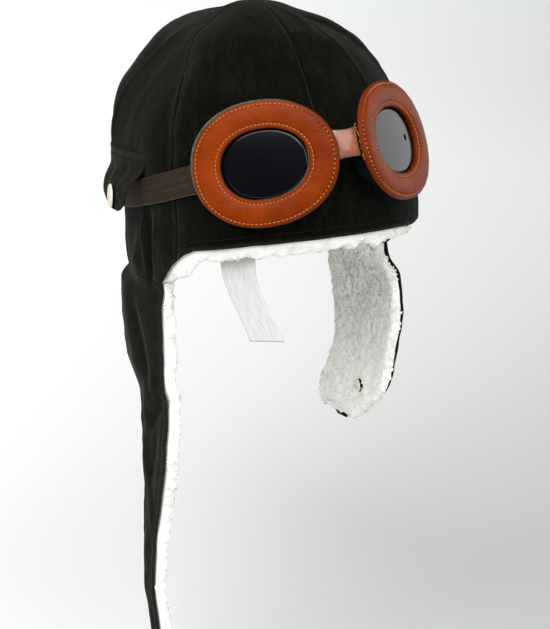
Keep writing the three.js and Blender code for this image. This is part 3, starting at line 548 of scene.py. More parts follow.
def grid_mesh(place: Place, columns: int, rows: int, cut: tuple[float, float] = (1.0, 1.0)) -> BMesh:
    """A grid bent over a surface, with UVs in metres of cloth and a tone at each point.

    Args:
        place: Gives the point and its tone at a share across and a share along.
        columns: Divisions across.
        rows: Divisions along.
        cut: Width and length of the flat cloth, in metres.

    Returns:
        The bmesh, with coincident points merged.
    """
    bm = bmesh.new()
    bmesh.ops.create_grid(bm, x_segments=columns, y_segments=rows, size=0.5)
    uv = bm.loops.layers.uv.new("UVMap")
    for face in bm.faces:
        for loop in face.loops:
            spot = loop.vert.co
            loop[uv].uv = ((spot.x + 0.5) * cut[0], (spot.y + 0.5) * cut[1])
    tone = bm.verts.layers.float.new("tone")
    for vert in bm.verts:
        vert.co, vert[tone] = place(vert.co.x + 0.5, vert.co.y + 0.5)
    bmesh.ops.remove_doubles(bm, verts=bm.verts, dist=1e-6)
    bmesh.ops.recalc_face_normals(bm, faces=bm.faces)
    return bm


def face_outward(bm: BMesh, outward: Callable[[BMFace], float]) -> None:
    """Turns a sheet over if most of its faces point inward.

    Args:
        bm: The sheet.
        outward: Gives a number above 0 for a face that points outward.
    """
    bm.normal_update()
    if sum(1 if outward(face) > 0 else -1 for face in bm.faces) < 0:
        bmesh.ops.reverse_faces(bm, faces=bm.faces)


def close_ends(bm: BMesh) -> None:
    """Fills the open ends of a tube."""
    rims = [edge for edge in bm.edges if edge.is_boundary]
    if rims:
        bmesh.ops.holes_fill(bm, edges=rims)
        bmesh.ops.recalc_face_normals(bm, faces=bm.faces)


def as_object(name: str, bm: BMesh, finish: Material, slot: Slot) -> Object:
    """Makes a smooth-shaded object of a bmesh and lets it ride on the part.

    Args:
        name: The piece's name.
        bm: Its shape, which is freed.
        finish: Its material.
        slot: The record's slot that its finish stands for. Not used.

    Returns:
        The linked object.
    """
    mesh = bpy.data.meshes.new(name)
    bm.to_mesh(mesh)
    bm.free()
    mesh.shade_smooth()
    mesh.materials.append(finish)
    piece = bpy.data.objects.new(name, mesh)
    bpy.context.scene.collection.objects.link(piece)
    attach(piece, BODY)
    LOG.info("%s: %d faces", name, len(mesh.polygons))
    return piece


def give_wall(piece: Object, thickness: float) -> None:
    """Turns a sheet into cloth of a thickness, grown in from the sheet's face.

    Args:
        piece: The sheet.
        thickness: Wall in metres.
    """
    wall = piece.modifiers.new("wall", "SOLIDIFY")
    wall.thickness = thickness
    wall.offset = -1.0
    wall.use_even_offset = True
    wall.thickness_clamp = 1.0


def oriented(point: Vector, ahead: Vector, up: Vector) -> Matrix:
    """A placing matrix with X along ahead and Z as near to up as can be."""
    x = ahead.normalized()
    z = (up - x * up.dot(x)).normalized()
    y = z.cross(x)
    turn = Matrix((x, y, z)).transposed().to_4x4()
    return Matrix.Translation(point) @ turn


class Repeats:
    """Many copies of one small shape, joined in one mesh."""

    def __init__(self, pattern: BMesh) -> None:
        """Keeps the small shape as a mesh and starts empty."""
        self.pattern: Mesh = bpy.data.meshes.new("pattern")
        pattern.to_mesh(self.pattern)
        pattern.free()
        self.bm: BMesh = bmesh.new()

    def put(self, where: Matrix) -> None:
        """Adds one copy at a placing matrix."""
        self.pattern.transform(where)
        self.bm.from_mesh(self.pattern)
        self.pattern.transform(where.inverted())

    def done(self) -> BMesh:
        """Drops the small shape and gives the joined mesh."""
        bpy.data.meshes.remove(self.pattern)
        return self.bm


def stitch_shape(length: float, radius: float) -> BMesh:
    """One stitch: a short thread, round at both ends."""
    bm = bmesh.new()
    bmesh.ops.create_uvsphere(bm, u_segments=8, v_segments=6, radius=1.0)
    bmesh.ops.rotate(bm, verts=bm.verts, matrix=Matrix.Rotation(math.pi / 2, 3, "Y"))
    bmesh.ops.scale(bm, verts=bm.verts, vec=(length / 2, radius, radius))
    return bm


def stitch_along(thread: Repeats, trace: Trace, pitch: float, samples: int = 240, shift: float = 0.5) -> None:
    """Puts stitches along a trace at an even pitch.

    Args:
        thread: Where the stitches are collected.
        trace: Gives the point and the outward normal at a share of the row.
        pitch: Distance between stitches, in metres.
        samples: Steps by which the row is measured.
        shift: Where in its pitch each stitch lies, 0 for the needle holes between.
    """
    spots = [trace(i / samples) for i in range(samples + 1)]
    reach = [0.0]
    for (a, _), (b, _) in zip(spots, spots[1:]):
        reach.append(reach[-1] + (b - a).length)
    count = int(reach[-1] / pitch)
    for k in range(count):
        where = (k + shift) * reach[-1] / count
        after = min(max(bisect_left(reach, where), 1), samples)
        share = (where - reach[after - 1]) / max(reach[after] - reach[after - 1], 1e-9)
        (a, up), (b, _) = spots[after - 1], spots[after]
        thread.put(oriented(a.lerp(b, share), b - a, up))


def curl_shape(radius: float, tube: float) -> BMesh:
    """One curl of pile: a hooked lock that rises, turns over and tapers."""
    bm = bmesh.new()
    ring = bmesh.ops.create_circle(bm, segments=5, radius=tube)["verts"]
    bmesh.ops.translate(bm, verts=ring, vec=(radius, 0, 0))
    steps = 5
    edges = [edge for edge in bm.edges]
    for k in range(steps):
        grown = bmesh.ops.extrude_edge_only(bm, edges=edges)["geom"]
        verts = [part for part in grown if isinstance(part, BMVert)]
        edges = [part for part in grown if isinstance(part, BMEdge)]
        bmesh.ops.rotate(bm, verts=verts, matrix=Matrix.Rotation(-math.radians(46), 3, "Y"))
        middle = sum((vert.co for vert in verts), Vector()) / len(verts)
        squeeze = 0.93 if k < steps - 1 else 0.45
        for vert in verts:
            vert.co = middle + (vert.co - middle) * squeeze + Vector((0, 0.12 * radius, 0))
    bmesh.ops.holes_fill(bm, edges=edges)
    bmesh.ops.recalc_face_normals(bm, faces=bm.faces)
    return bm


def curl_height(point: Vector, cell: float) -> float:
    """Relief of the pile at a point, from 0 in a crevice to about 1 on a curl."""
    spread = noise.voronoi(point / cell)[0]
    dome = 1 - min(spread[0], 1.0) ** 1.5
    return 0.75 * dome + 0.25 * (0.5 + noise.noise(point / (0.4 * cell)))


def fluff(bm: BMesh, cell: float, depth: float) -> None:
    """Raises curls where a pile surface's tone asks for them, and keeps their height there, which the pile's
    finish turns into painted shade in its crevices.

    Args:
        bm: The pile's smooth form, with the share of curl as its tone.
        cell: Size of a curl in metres.
        depth: Height of a curl in metres.
    """
    bm.normal_update()
    tone = bm.verts.layers.float["tone"]
    moves = [(vert, vert.normal.copy(), curl_height(vert.co, cell)) for vert in bm.verts]
    for vert, normal, height in moves:
        vert.co += normal * depth * (height - 0.35) * vert[tone]
        vert[tone] *= height


def scatter_curls(bm: BMesh, count: int, seed: int, keep: Callable[[Vector], float]) -> BMesh:
    """Scatters curls over a pile surface.

    Args:
        bm: The surface, left as it is.
        count: Curls wanted if all of the surface is kept.
        seed: Start of the random order.
        keep: Gives the share of curls wanted at a place.

    Returns:
        The joined curls.
    """
    chance = random.Random(seed)
    curls = Repeats(curl_shape(radius=1.5 * MM, tube=0.62 * MM))
    areas = [face.calc_area() for face in bm.faces]
    total = sum(areas)
    tone = bm.verts.layers.float["tone"]
    owed = 0.0
    for face, area in zip(bm.faces, areas):
        middle = face.calc_center_median()
        if min(vert[tone] for vert in face.verts) == 0:
            continue
        owed += count * area / total * keep(middle)
        while owed > chance.random():
            owed -= 1
            up = face.normal + Vector([chance.uniform(-0.5, 0.5) for _ in range(3)])
            ahead = Vector([chance.uniform(-1, 1) for _ in range(3)])
            where = oriented(middle - face.normal * 0.9 * MM, ahead, up)
            curls.put(where @ Matrix.Scale(chance.uniform(0.7, 1.2), 4))
    return curls.done()


class Recipe:
    """A material's node tree, while it is put together."""

    RIB_SCALE = 0.314

    def __init__(self, name: str) -> None:
        """Starts a material with one Principled shader."""
        self.material = bpy.data.materials.new(name)
        self.material.use_nodes = True
        self.tree = self.material.node_tree
        self.shader = next(node for node in self.tree.nodes if node.type == "BSDF_PRINCIPLED")

    def node(self, kind: str, **settings: object) -> Node:
        """Adds a node and sets its properties."""
        made = self.tree.nodes.new(kind)
        for name, value in settings.items():
            setattr(made, name, value)
        return made

    def link(self, start: NodeSocket, end: NodeSocket) -> None:
        """Joins two sockets."""
        self.tree.links.new(start, end)

    def coordinates(self, kind: str) -> NodeSocket:
        """Object or UV coordinates."""
        return self.node("ShaderNodeTexCoord").outputs[kind]

    def texture(self, kind: str, source: NodeSocket, inputs: dict[str, object], **settings: object) -> Node:
        """Adds a texture or mapping node that reads a place, and sets its inputs."""
        made = self.node(kind, **settings)
        for name, value in inputs.items():
            made.inputs[name].default_value = value
        self.link(source, made.inputs["Vector"])
        return made

    def mapped(self, source: NodeSocket, kind: str = "POINT", **inputs: Sequence[float]) -> NodeSocket:
        """Coordinates moved, turned or scaled."""
        return self.texture("ShaderNodeMapping", source, inputs, vector_type=kind).outputs["Vector"]

    def cloud(self, source: NodeSocket, scale: float, detail: float = 3.0, rough: float = 0.55) -> NodeSocket:
        """A soft noise, from 0 to 1."""
        inputs = {"Scale": scale, "Detail": detail, "Roughness": rough}
        return self.texture("ShaderNodeTexNoise", source, inputs).outputs["Fac"]

    def cells(self, source: NodeSocket, scale: float) -> NodeSocket:
        """Distance to the nearest cell's middle."""
        return self.texture("ShaderNodeTexVoronoi", source, {"Scale": scale}).outputs["Distance"]

    def ribs(self, source: NodeSocket, pitch: float, direction: str) -> NodeSocket:
        """Even ribs along a direction, at a pitch in metres."""
        inputs = {"Scale": self.RIB_SCALE / pitch, "Distortion": 0.0}
        return self.texture("ShaderNodeTexWave", source, inputs, bands_direction=direction).outputs["Fac"]

    def gradient(self, source: NodeSocket, kind: str) -> NodeSocket:
        """An even rise of a kind, such as RADIAL."""
        return self.texture("ShaderNodeTexGradient", source, {}, gradient_type=kind).outputs["Fac"]

    def attribute(self, name: str) -> NodeSocket:
        """A number kept on the mesh."""
        return self.node("ShaderNodeAttribute", attribute_name=name).outputs["Fac"]

    def ramp(self, source: NodeSocket, low: float, high: float) -> NodeSocket:
        """A value brought from low..high to 0..1, and held there."""
        made = self.node("ShaderNodeMapRange")
        made.inputs["From Min"].default_value = low
        made.inputs["From Max"].default_value = high
        self.link(source, made.inputs["Value"])
        return made.outputs["Result"]

    def math(self, how: str, first: NodeSocket, second: NodeSocket | float) -> NodeSocket:
        """Two values combined."""
        made = self.node("ShaderNodeMath", operation=how)
        self.link(first, made.inputs[0])
        if isinstance(second, float):
            made.inputs[1].default_value = second
        else:
            self.link(second, made.inputs[1])
        return made.outputs["Value"]

    def blend(self, share: NodeSocket, first: "Tint | NodeSocket", second: "Tint | NodeSocket") -> NodeSocket:
        """Two colours mixed by a share."""
        made = self.node("ShaderNodeMix", data_type="RGBA")
        self.link(share, made.inputs["Factor"])
        colour_inputs = [socket for socket in made.inputs if socket.type == "RGBA"]
        for socket, colour in zip(colour_inputs, (first, second)):
            if isinstance(colour, Tint):
                socket.default_value = colour.rgba
            else:
                self.link(colour, socket)
        return next(socket for socket in made.outputs if socket.type == "RGBA")

    def colour(self, source: NodeSocket) -> None:
        """Sends a colour to the shader."""
        self.link(source, self.shader.inputs["Base Color"])

    def relief(self, source: NodeSocket, strength: float, distance: float) -> None:
        """Adds a bump, on top of any that the shader has already."""
        made = self.node("ShaderNodeBump")
        made.inputs["Strength"].default_value = strength
        made.inputs["Distance"].default_value = distance
        self.link(source, made.inputs["Height"])
        before = self.shader.inputs["Normal"]
        if before.is_linked:
            self.link(before.links[0].from_socket, made.inputs["Normal"])
        self.link(made.outputs["Normal"], before)

    def set(self, **values: float) -> None:
        """Sets numbers on the shader's own sockets, with _ for a space in a name."""
        for name, value in values.items():
            self.shader.inputs[name.replace("_", " ")].default_value = value


@dataclass(frozen=True)
class Tint:
    """A colour as it shows on a screen, from 0 to 255."""

    red: float
    green: float
    blue: float

    @property
    def rgba(self) -> tuple[float, float, float, float]:
        """The linear colour that a shader takes."""
        linear = [self._linear(value / 255) for value in (self.red, self.green, self.blue)]
        return (*linear, 1.0)

    @staticmethod
    def _linear(value: float) -> float:
        """One screen value as a linear one."""
        if value <= 0.04045:
            return value / 12.92
        return ((value + 0.055) / 1.055) ** 2.4


@dataclass(frozen=True)
class CottonFinish:
    """Black cotton twill, brushed grey in patches, and greyer where the mesh's tone asks: rub wear along
    seams and edges, and painted sheen over the crown's sides, the flaps and the tabs.
    """

    deep: Tint = Tint(5, 5, 2)
    faded: Tint = Tint(27, 27, 20)
    worn: Tint = Tint(58, 58, 49)
    twill: float = 0.55 * MM

    def build(self) -> Material:
        """Makes the material."""
        recipe = Recipe("black_cotton")
        cloth = recipe.coordinates("UV")
        space = recipe.coordinates("Object")
        patches = recipe.cloud(space, scale=34, detail=5, rough=0.6)
        streaks = recipe.cloud(recipe.mapped(cloth, Scale=(1, 0.28, 1)), scale=190, detail=6, rough=0.72)
        fibres = recipe.cloud(recipe.mapped(cloth, Scale=(1, 0.35, 1)), scale=900, detail=4, rough=0.7)
        brushed = recipe.math("MULTIPLY", recipe.ramp(patches, 0.3, 0.7), recipe.ramp(streaks, 0.4, 0.7))
        fade = recipe.math("MULTIPLY", brushed, recipe.ramp(fibres, 0.1, 0.6))
        ground = recipe.blend(fade, self.deep, self.faded)
        # Painted sheen and wear: the tone pales the crown's sides, the flaps and the tabs as painted sheen,
        # and the seams and edges as rub wear.
        rub_and_sheen_share = recipe.math("MULTIPLY", recipe.attribute("tone"), recipe.ramp(fibres, 0.1, 0.7))
        recipe.colour(recipe.blend(rub_and_sheen_share, ground, self.worn))
        slant = recipe.mapped(cloth, Rotation=(0, 0, math.radians(58)))
        recipe.relief(recipe.ribs(slant, self.twill, "X"), 0.35, 0.12 * MM)
        recipe.relief(recipe.cloud(space, scale=420, detail=4), 0.5, 0.25 * MM)
        recipe.relief(recipe.cloud(space, scale=90, detail=3), 0.5, 0.9 * MM)
        recipe.set(Roughness=0.9, Specular_IOR_Level=0.03, Sheen_Weight=0.06, Sheen_Roughness=0.4)
        return recipe.material


@dataclass(frozen=True)
class PileFinish:
    """Off-white curled pile, with painted shade between its curls and where the pile turns under."""

    # The crevice tint is painted shade.
    crevice: Tint = Tint(238, 236, 230)
    curl: Tint = Tint(255, 255, 252)
    warm: Tint = Tint(247, 245, 238)

    def build(self) -> Material:
        """Makes the material."""
        recipe = Recipe("curled_pile")
        space = recipe.coordinates("Object")
        # Painted shade: where the tone is low, between curls and where the pile turns under, the colour goes
        # to the crevice tint.
        lit = recipe.ramp(recipe.attribute("tone"), 0.25, 0.8)
        tone = recipe.blend(recipe.cloud(space, scale=60, detail=4), self.warm, self.curl)
        recipe.colour(recipe.blend(lit, self.crevice, tone))
        recipe.relief(recipe.cloud(space, scale=700, detail=5, rough=0.7), 0.8, 0.7 * MM)
        recipe.shader.inputs["Subsurface Radius"].default_value = (1.0, 0.95, 0.88)
        recipe.set(Subsurface_Weight=0.4, Subsurface_Scale=2.2 * MM)
        recipe.set(Roughness=0.95, Specular_IOR_Level=0.15, Sheen_Weight=0.25, Sheen_Roughness=0.6)
        return recipe.material


@dataclass(frozen=True)
class LeatherFinish:
    """Waxed tan leather with fine creases, darker where it is burnished, and with painted shade where a
    piece's tone marks it.
    """

    name: str = "tan_leather"
    tan: Tint = Tint(126, 46, 0)
    dark: Tint = Tint(102, 34, 0)
    burnt: Tint = Tint(72, 30, 8)
    gloss: float = 0.32
    shine: float = 0.07
    coat: float = 0.0

    def build(self) -> Material:
        """Makes the material."""
        recipe = Recipe(self.name)
        space = recipe.coordinates("Object")
        clouds = recipe.ramp(recipe.cloud(space, scale=42, detail=4), 0.35, 0.7)
        hide = recipe.blend(clouds, self.dark, self.tan)
        specks = recipe.ramp(recipe.cloud(space, scale=650, detail=2), 0.62, 0.8)
        hide = recipe.blend(recipe.math("MULTIPLY", specks, 0.35), hide, self.burnt)
        # The tone darkens towards the darkest tint: burnish on edges and stitch rows, and painted shade where
        # the bridge comes out from under the right ring.
        recipe.colour(recipe.blend(recipe.attribute("tone"), hide, self.burnt))
        recipe.relief(recipe.cells(space, 1000), 0.5, 0.22 * MM)
        recipe.relief(recipe.cloud(space, scale=620, detail=4, rough=0.7), 0.6, 0.35 * MM)
        grain = recipe.mapped(space, Scale=(1, 1, 2.4))
        recipe.relief(recipe.cloud(grain, scale=120, detail=4), 0.3, 0.7 * MM)
        recipe.set(Roughness=self.gloss, Specular_IOR_Level=self.shine)
        recipe.set(Coat_Weight=self.coat, Coat_Roughness=0.2)
        return recipe.material


@dataclass(frozen=True)
class ThreadFinish:
    """Twisted sewing thread."""

    name: str
    light: Tint
    dark: Tint
    twist: float = 0.5 * MM

    def build(self) -> Material:
        """Makes the material."""
        recipe = Recipe(self.name)
        space = recipe.coordinates("Object")
        tone = recipe.ramp(recipe.cloud(space, scale=900, detail=2), 0.35, 0.65)
        recipe.colour(recipe.blend(tone, self.dark, self.light))
        recipe.relief(recipe.ribs(space, self.twist, "DIAGONAL"), 0.5, 0.1 * MM)
        recipe.set(Roughness=0.75, Specular_IOR_Level=0.3)
        return recipe.material


@dataclass(frozen=True)
class ElasticFinish:
    """Dark brown woven elastic, ribbed along its length, with a paler lower edge."""

    dark: Tint = Tint(36, 26, 17)
    light: Tint = Tint(54, 41, 29)
    edge: Tint = Tint(76, 68, 57)
    rib: float = 1.15 * MM

    def build(self) -> Material:
        """Makes the material."""
        recipe = Recipe("brown_elastic")
        band = recipe.coordinates("UV")
        ribs = recipe.ribs(band, self.rib, "Y")
        picks = recipe.ribs(band, 0.7 * MM, "X")
        cloud = recipe.cloud(recipe.mapped(band, Scale=(0.3, 1, 1)), scale=420, detail=4)
        tone = recipe.math("MULTIPLY", recipe.ramp(cloud, 0.25, 0.75), ribs)
        woven = recipe.blend(tone, self.dark, self.light)
        recipe.colour(recipe.blend(recipe.attribute("tone"), woven, self.edge))
        recipe.relief(ribs, 0.5, 0.25 * MM)
        recipe.relief(picks, 0.4, 0.12 * MM)
        recipe.set(Roughness=0.75, Specular_IOR_Level=0.15)
        return recipe.material


@dataclass(frozen=True)
class FoamFinish:
    """Foam or felt behind the leather, fine-grained and matte."""

    name: str
    dark: Tint
    light: Tint

    def build(self) -> Material:
        """Makes the material."""
        recipe = Recipe(self.name)
        space = recipe.coordinates("Object")
        tone = recipe.ramp(recipe.cloud(space, scale=300, detail=5, rough=0.7), 0.3, 0.7)
        recipe.colour(recipe.blend(tone, self.dark, self.light))
        recipe.relief(recipe.cells(space, 1300), 0.5, 0.3 * MM)
        recipe.set(Roughness=0.9, Specular_IOR_Level=0.08)
        return recipe.material


@dataclass(frozen=True)
class LensFinish:
    """Smoked lens: nearly black in front, with a soft gloss."""

    smoke: Tint = Tint(5, 6, 9)
    film: Tint = Tint(10, 11, 15)

    def build(self) -> Material:
        """Makes the material."""
        recipe = Recipe("smoked_lens")
        space = recipe.coordinates("Object")
        haze = recipe.ramp(recipe.cloud(space, scale=36, detail=4), 0.4, 0.75)
        recipe.colour(recipe.blend(haze, self.smoke, self.film))
        recipe.relief(recipe.cloud(space, scale=30, detail=1), 0.05, 0.5 * MM)
        recipe.set(Roughness=0.14, Specular_IOR_Level=0.3)
        return recipe.material


@dataclass(frozen=True)
class NickelFinish:
    """Nickel plate with fine scratches, bright or brushed dull."""

    name: str = "nickel"
    plate: Tint = Tint(232, 230, 220)
    dull: Tint = Tint(196, 192, 180)
    gloss: float = 0.24
    metal: float = 1.0

    def build(self) -> Material:
        """Makes the material."""
        recipe = Recipe(self.name)
        space = recipe.coordinates("Object")
        haze = recipe.ramp(recipe.cloud(space, scale=500, detail=4), 0.35, 0.7)
        recipe.colour(recipe.blend(haze, self.plate, self.dull))
        scratches = recipe.mapped(space, Scale=(1, 6, 1))
        recipe.relief(recipe.cloud(scratches, scale=800, detail=2), 0.15, 0.05 * MM)
        recipe.set(Metallic=self.metal, Roughness=self.gloss)
        return recipe.material


@dataclass(frozen=True)
class SatinFinish:
    """Thin white satin ribbon."""

    white: Tint = Tint(206, 207, 205)
    grey: Tint = Tint(188, 189, 187)

    def build(self) -> Material:
        """Makes the material."""
        recipe = Recipe("white_satin")
        ribbon = recipe.coordinates("UV")
        weave = recipe.ribs(ribbon, 0.45 * MM, "Y")
        tone = recipe.cloud(recipe.mapped(ribbon, Scale=(1, 0.2, 1)), scale=600, detail=3)
        recipe.colour(recipe.blend(recipe.ramp(tone, 0.3, 0.7), self.white, self.grey))
        recipe.relief(weave, 0.3, 0.06 * MM)
        recipe.set(Roughness=0.55, Sheen_Weight=0.2, Specular_IOR_Level=0.4)
        return recipe.material


@dataclass(frozen=True)
class StudioFinish:
    """Pale paper under the hat, with painted shade across it."""

    # Painted shade: the shade tints darken the floor's right and the low tints darken the floor nearer the
    # camera.
    paper: Tint = Tint(222, 223, 223)
    shade: Tint = Tint(176, 178, 176)
    low_paper: Tint = Tint(206, 208, 207)
    low_shade: Tint = Tint(166, 168, 167)
    corner: tuple[float, float, float] = (-308 * MM, -714 * MM, 0.0)
    azimuth: float = 156.0
    spread: float = 15.0
    reach: float = 2.4

    def build(self) -> Material:
        """Makes the material: painted shade in a sweep from white on the left to pale grey on the right, and
        darker nearer the camera.
        """
        recipe = Recipe("studio_paper")
        space = recipe.coordinates("Object")
        turn = (0, 0, math.radians(self.azimuth - 90))
        turned = recipe.mapped(space, "TEXTURE", Location=self.corner, Rotation=turn)
        sweep = recipe.gradient(turned, "RADIAL")
        half = self.spread / 360
        share = recipe.ramp(sweep, 0.5 - half, 0.5 + half)
        reach = (self.reach, self.reach, 1000.0)
        around = recipe.mapped(space, "TEXTURE", Location=self.corner, Scale=reach)
        fall = recipe.gradient(around, "SPHERICAL")
        low = recipe.ramp(fall, 0.0, 0.64)
        high_side = recipe.blend(low, self.paper, self.low_paper)
        recipe.colour(recipe.blend(share, recipe.blend(low, self.shade, self.low_shade), high_side))
        recipe.set(Roughness=0.9, Specular_IOR_Level=0.1)
        return recipe.material


class Finishes:
    """The finishes that the pieces share."""

    def __init__(self) -> None:
        """Builds each material once."""
        self.cotton = CottonFinish().build()
        self.black_thread = ThreadFinish("black_thread", Tint(13, 13, 9), Tint(7, 7, 5)).build()
        self.pile = PileFinish().build()
        self.leather = LeatherFinish().build()
        self.bridge = LeatherFinish(
            name="bridge_leather", tan=Tint(150, 88, 60), dark=Tint(116, 62, 38), burnt=Tint(70, 34, 20),
            gloss=0.32, shine=0.5, coat=0.5,
        ).build()
        self.tan_thread = ThreadFinish("tan_thread", Tint(204, 134, 74), Tint(170, 98, 46)).build()
        self.foam = FoamFinish("dark_foam", Tint(4, 8, 9), Tint(9, 14, 15)).build()
        self.felt = FoamFinish("grey_backing", Tint(52, 58, 53), Tint(92, 96, 86)).build()
        self.elastic = ElasticFinish().build()
        self.lens = LensFinish().build()
        self.cap = NickelFinish("brushed_cap", Tint(232, 226, 208), Tint(208, 201, 182), 0.5, 0.4).build()
        self.nickel = NickelFinish().build()
        self.satin = SatinFinish().build()


@dataclass
class Crown:
    """The three cotton panels of the crown, their topstitching and the pile inside."""

    form: CrownForm
    finishes: Finishes
    detail: Detail
    cloth: float = 1.5 * MM
    clearance: float = 0.3 * MM
    pile: float = 7.5 * MM
    pile_roll: float = 8 * MM
    tuft_right: float = 59.0
    tuft_left: float = 71.0
    slack: float = 1.2 * MM
    seam_gap: float = 0.3 * MM
    seam_dip: float = 0.6 * MM
    seam_lap: float = 0.5 * MM
    notch_height: float = 71 * MM
    stitch_offset: float = 4 * MM
    stitch_length: float = 2.4 * MM
    stitch_pitch: float = 3.1 * MM
    crowding: float = 1.25
    curl: float = 4.4 * MM
    curl_depth: float = 2.2 * MM
    head_middle: Vector = field(default_factory=lambda: Vector((0, 10 * MM, 20 * MM)))

    def build(self) -> list[Object]:
        """Makes the panels, the stitches and the lining."""
        form = self.form
        seams = {side: (lambda row, side=side: form.seam_angle(side, row)) for side in Side}
        return [
            self._panel("front_cloth", "front_panel", seams[Side.LEFT], seams[Side.RIGHT]),
            self._panel("right_cloth", "side_panel_right", seams[Side.RIGHT], lambda row: 180.0),
            self._panel("left_cloth", "side_panel_left", lambda row: -180.0, seams[Side.LEFT]),
            self._stitching([seams[side] for side in Side]),
            *self._lining(),
        ]

    def surface(self, angle: float, row: float, inset: float = 0.0) -> Vector:
        """A point of the finely creased cloth."""
        point = self.form.at(angle, row, inset)
        fade = smoothstep(self.form.top_row - row, 0.2, 1.5)
        return point + self.form.normal(angle, row) * self.relief(angle, point) * fade

    def behind(self, angle: float, row: float, depth: float) -> Vector:
        """A point of the lining, pushed in where the cloth's fine creases are."""
        point = self.form.at(angle, row, depth)
        fade = smoothstep(self.form.top_row - row, 0.2, 1.5)
        pushed = min(self.form.fold_height(FINE_FOLDS, angle, point.z), 0.0) * fade
        return point + self.form.normal(angle, row) * pushed

    def relief(self, angle: float, point: Vector) -> float:
        """How far the fine creases and wrinkles stand out at a point of the crown."""
        wrinkle = noise.noise(point * 34) * 1.25 + noise.noise(point * 78) * 0.5
        wrinkle += noise.noise(point * 150) * 0.15
        return self.form.fold_height(FINE_FOLDS, angle, point.z) + wrinkle * MM

    def _panel(self, name: str, node: str, low: AngleAt, high: AngleAt) -> Object:
        """One panel between two seams.

        Args:
            name: The piece's name.
            node: The CAD node that it replaces.
            low: Gives the first seam's angle at a row.
            high: Gives the second seam's angle at a row.

        Returns:
            The panel.
        """
        form = self.form

        def place(u: float, v: float) -> Spot:
            share = u - math.sin(4 * math.pi * u) / (4 * math.pi) * 0.35
            share = lerp(share, 0.5 - 0.5 * math.cos(math.pi * u), 0.35)
            row = form.row_at(-form.DROP * 0.5)
            for _ in range(4):
                angle = lerp(low(row), high(row), share)
                foot = form.row_at(form.edge_height(angle) - self.seam_lap * form.flap_share(angle))
                row = lerp(foot, form.top_row, v**self.crowding)
            first, last = low(row), high(row)
            around = form.degree(angle, row)
            near = min(angle - first, last - angle) * around
            height = form.length("height", row) - form.edge_height(angle)
            inset = self._relief(near, height, angle, row)
            gap = self.seam_gap / 2 / max(around, 1e-6)
            held = min(max(angle, first + gap), last - gap) if last - first > 4 * gap else angle
            point = self.surface(held, row, inset)
            free = 1 - form.flap_share(angle)
            ridge = 0.5 * bell(near - 2.2 * MM, 1.2 * MM) + free * bell(height - 1 * MM, 1.5 * MM)
            # Painted sheen and wear: the tone pales the crown's sides a little as painted sheen, and pales
            # the seams and the turned edge more as rub wear.
            side = smoothstep(abs(from_brow(angle)), 50, 75)
            return point, lerp(0.1 * side, 0.35, min(ridge, 1.0))

        bm = grid_mesh(place, self.detail.count(190), self.detail.count(150), cut=(0.2, 0.19))
        face_outward(bm, lambda face: face.normal.dot(face.calc_center_median() - self.head_middle))
        piece = as_object(name, bm, self.finishes.cotton, Slot.COTTON)
        give_wall(piece, self.cloth * 0.9)
        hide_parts(node)
        return piece

    def _relief(self, near: float, height: float, angle: float, row: float) -> float:
        """How far seams, stitch rows and puckers draw the cloth in.

        Args:
            near: Distance to the nearer seam, in metres.
            height: Height above the panel's lower edge, in metres.
            angle: Degrees from the brow.
            row: Section row.

        Returns:
            The inset in metres.
        """
        fade = smoothstep(self.form.top_row - row, 0.05, 0.7)
        up = self.form.length("height", row)
        notch = 3.2 * bell(up - self.notch_height, 9 * MM) if from_brow(angle) > 0 else 0.0
        dip = self.seam_dip * (1 + notch) * bell(near, 0.8 * MM)
        dip += 0.22 * MM * bell(near - self.stitch_offset, 0.8 * MM)
        where = Vector((angle * 0.05, up * 130, 0))
        pucker = noise.noise(where) * 0.9 * bell(near - 1.5 * MM, 4 * MM)
        dip += pucker * MM
        free = 1 - self.form.flap_share(angle)
        turned = 1.2 * MM * bell(height, 0.9 * MM) + 0.3 * MM * bell(height - 6 * MM, 0.8 * MM)
        return dip * fade + turned * free

    def _stitching(self, seams: Sequence[AngleAt]) -> Object:
        """Topstitch rows beside both front seams, the back seam and along the brow."""
        form = self.form
        thread = Repeats(stitch_shape(self.stitch_length, 0.2 * MM))
        sink = 0.26 * MM

        def beside(angle_at: AngleAt, offset: float) -> Trace:
            def trace(t: float) -> tuple[Vector, Vector]:
                base = angle_at(form.row_at(-form.DROP * 0.4))
                foot = form.row_at(form.edge_height(base) + 2 * MM)
                row = lerp(foot, form.top_row - 0.35, t)
                angle = angle_at(row)
                angle += offset / max(form.degree(angle, row), 1e-5)
                return self.surface(angle, row, sink), form.normal(angle, row)

            return trace

        for angle_at in (*seams, lambda row: 180.0):
            for offset in (-self.stitch_offset, self.stitch_offset):
                stitch_along(thread, beside(angle_at, offset), self.stitch_pitch)

        def brow(t: float) -> tuple[Vector, Vector]:
            angle = lerp(-78, 66, t)
            row = form.row_at(form.edge_height(angle) + 6 * MM)
            return self.surface(angle, row, sink), form.normal(angle, row)

        stitch_along(thread, brow, self.stitch_pitch)
        return as_object("crown_stitching", thread.done(), self.finishes.black_thread, Slot.COTTON)

    def _lining(self) -> list[Object]:
        """The pile inside the crown, rolled out under the brow's edge."""
        form = self.form
        skin = self.cloth + self.clearance

        def place(u: float, v: float) -> Spot:
            angle = lerp(-180, 180, u)
            foot = form.edge_height(angle)
            foot_row = form.row_at(foot)
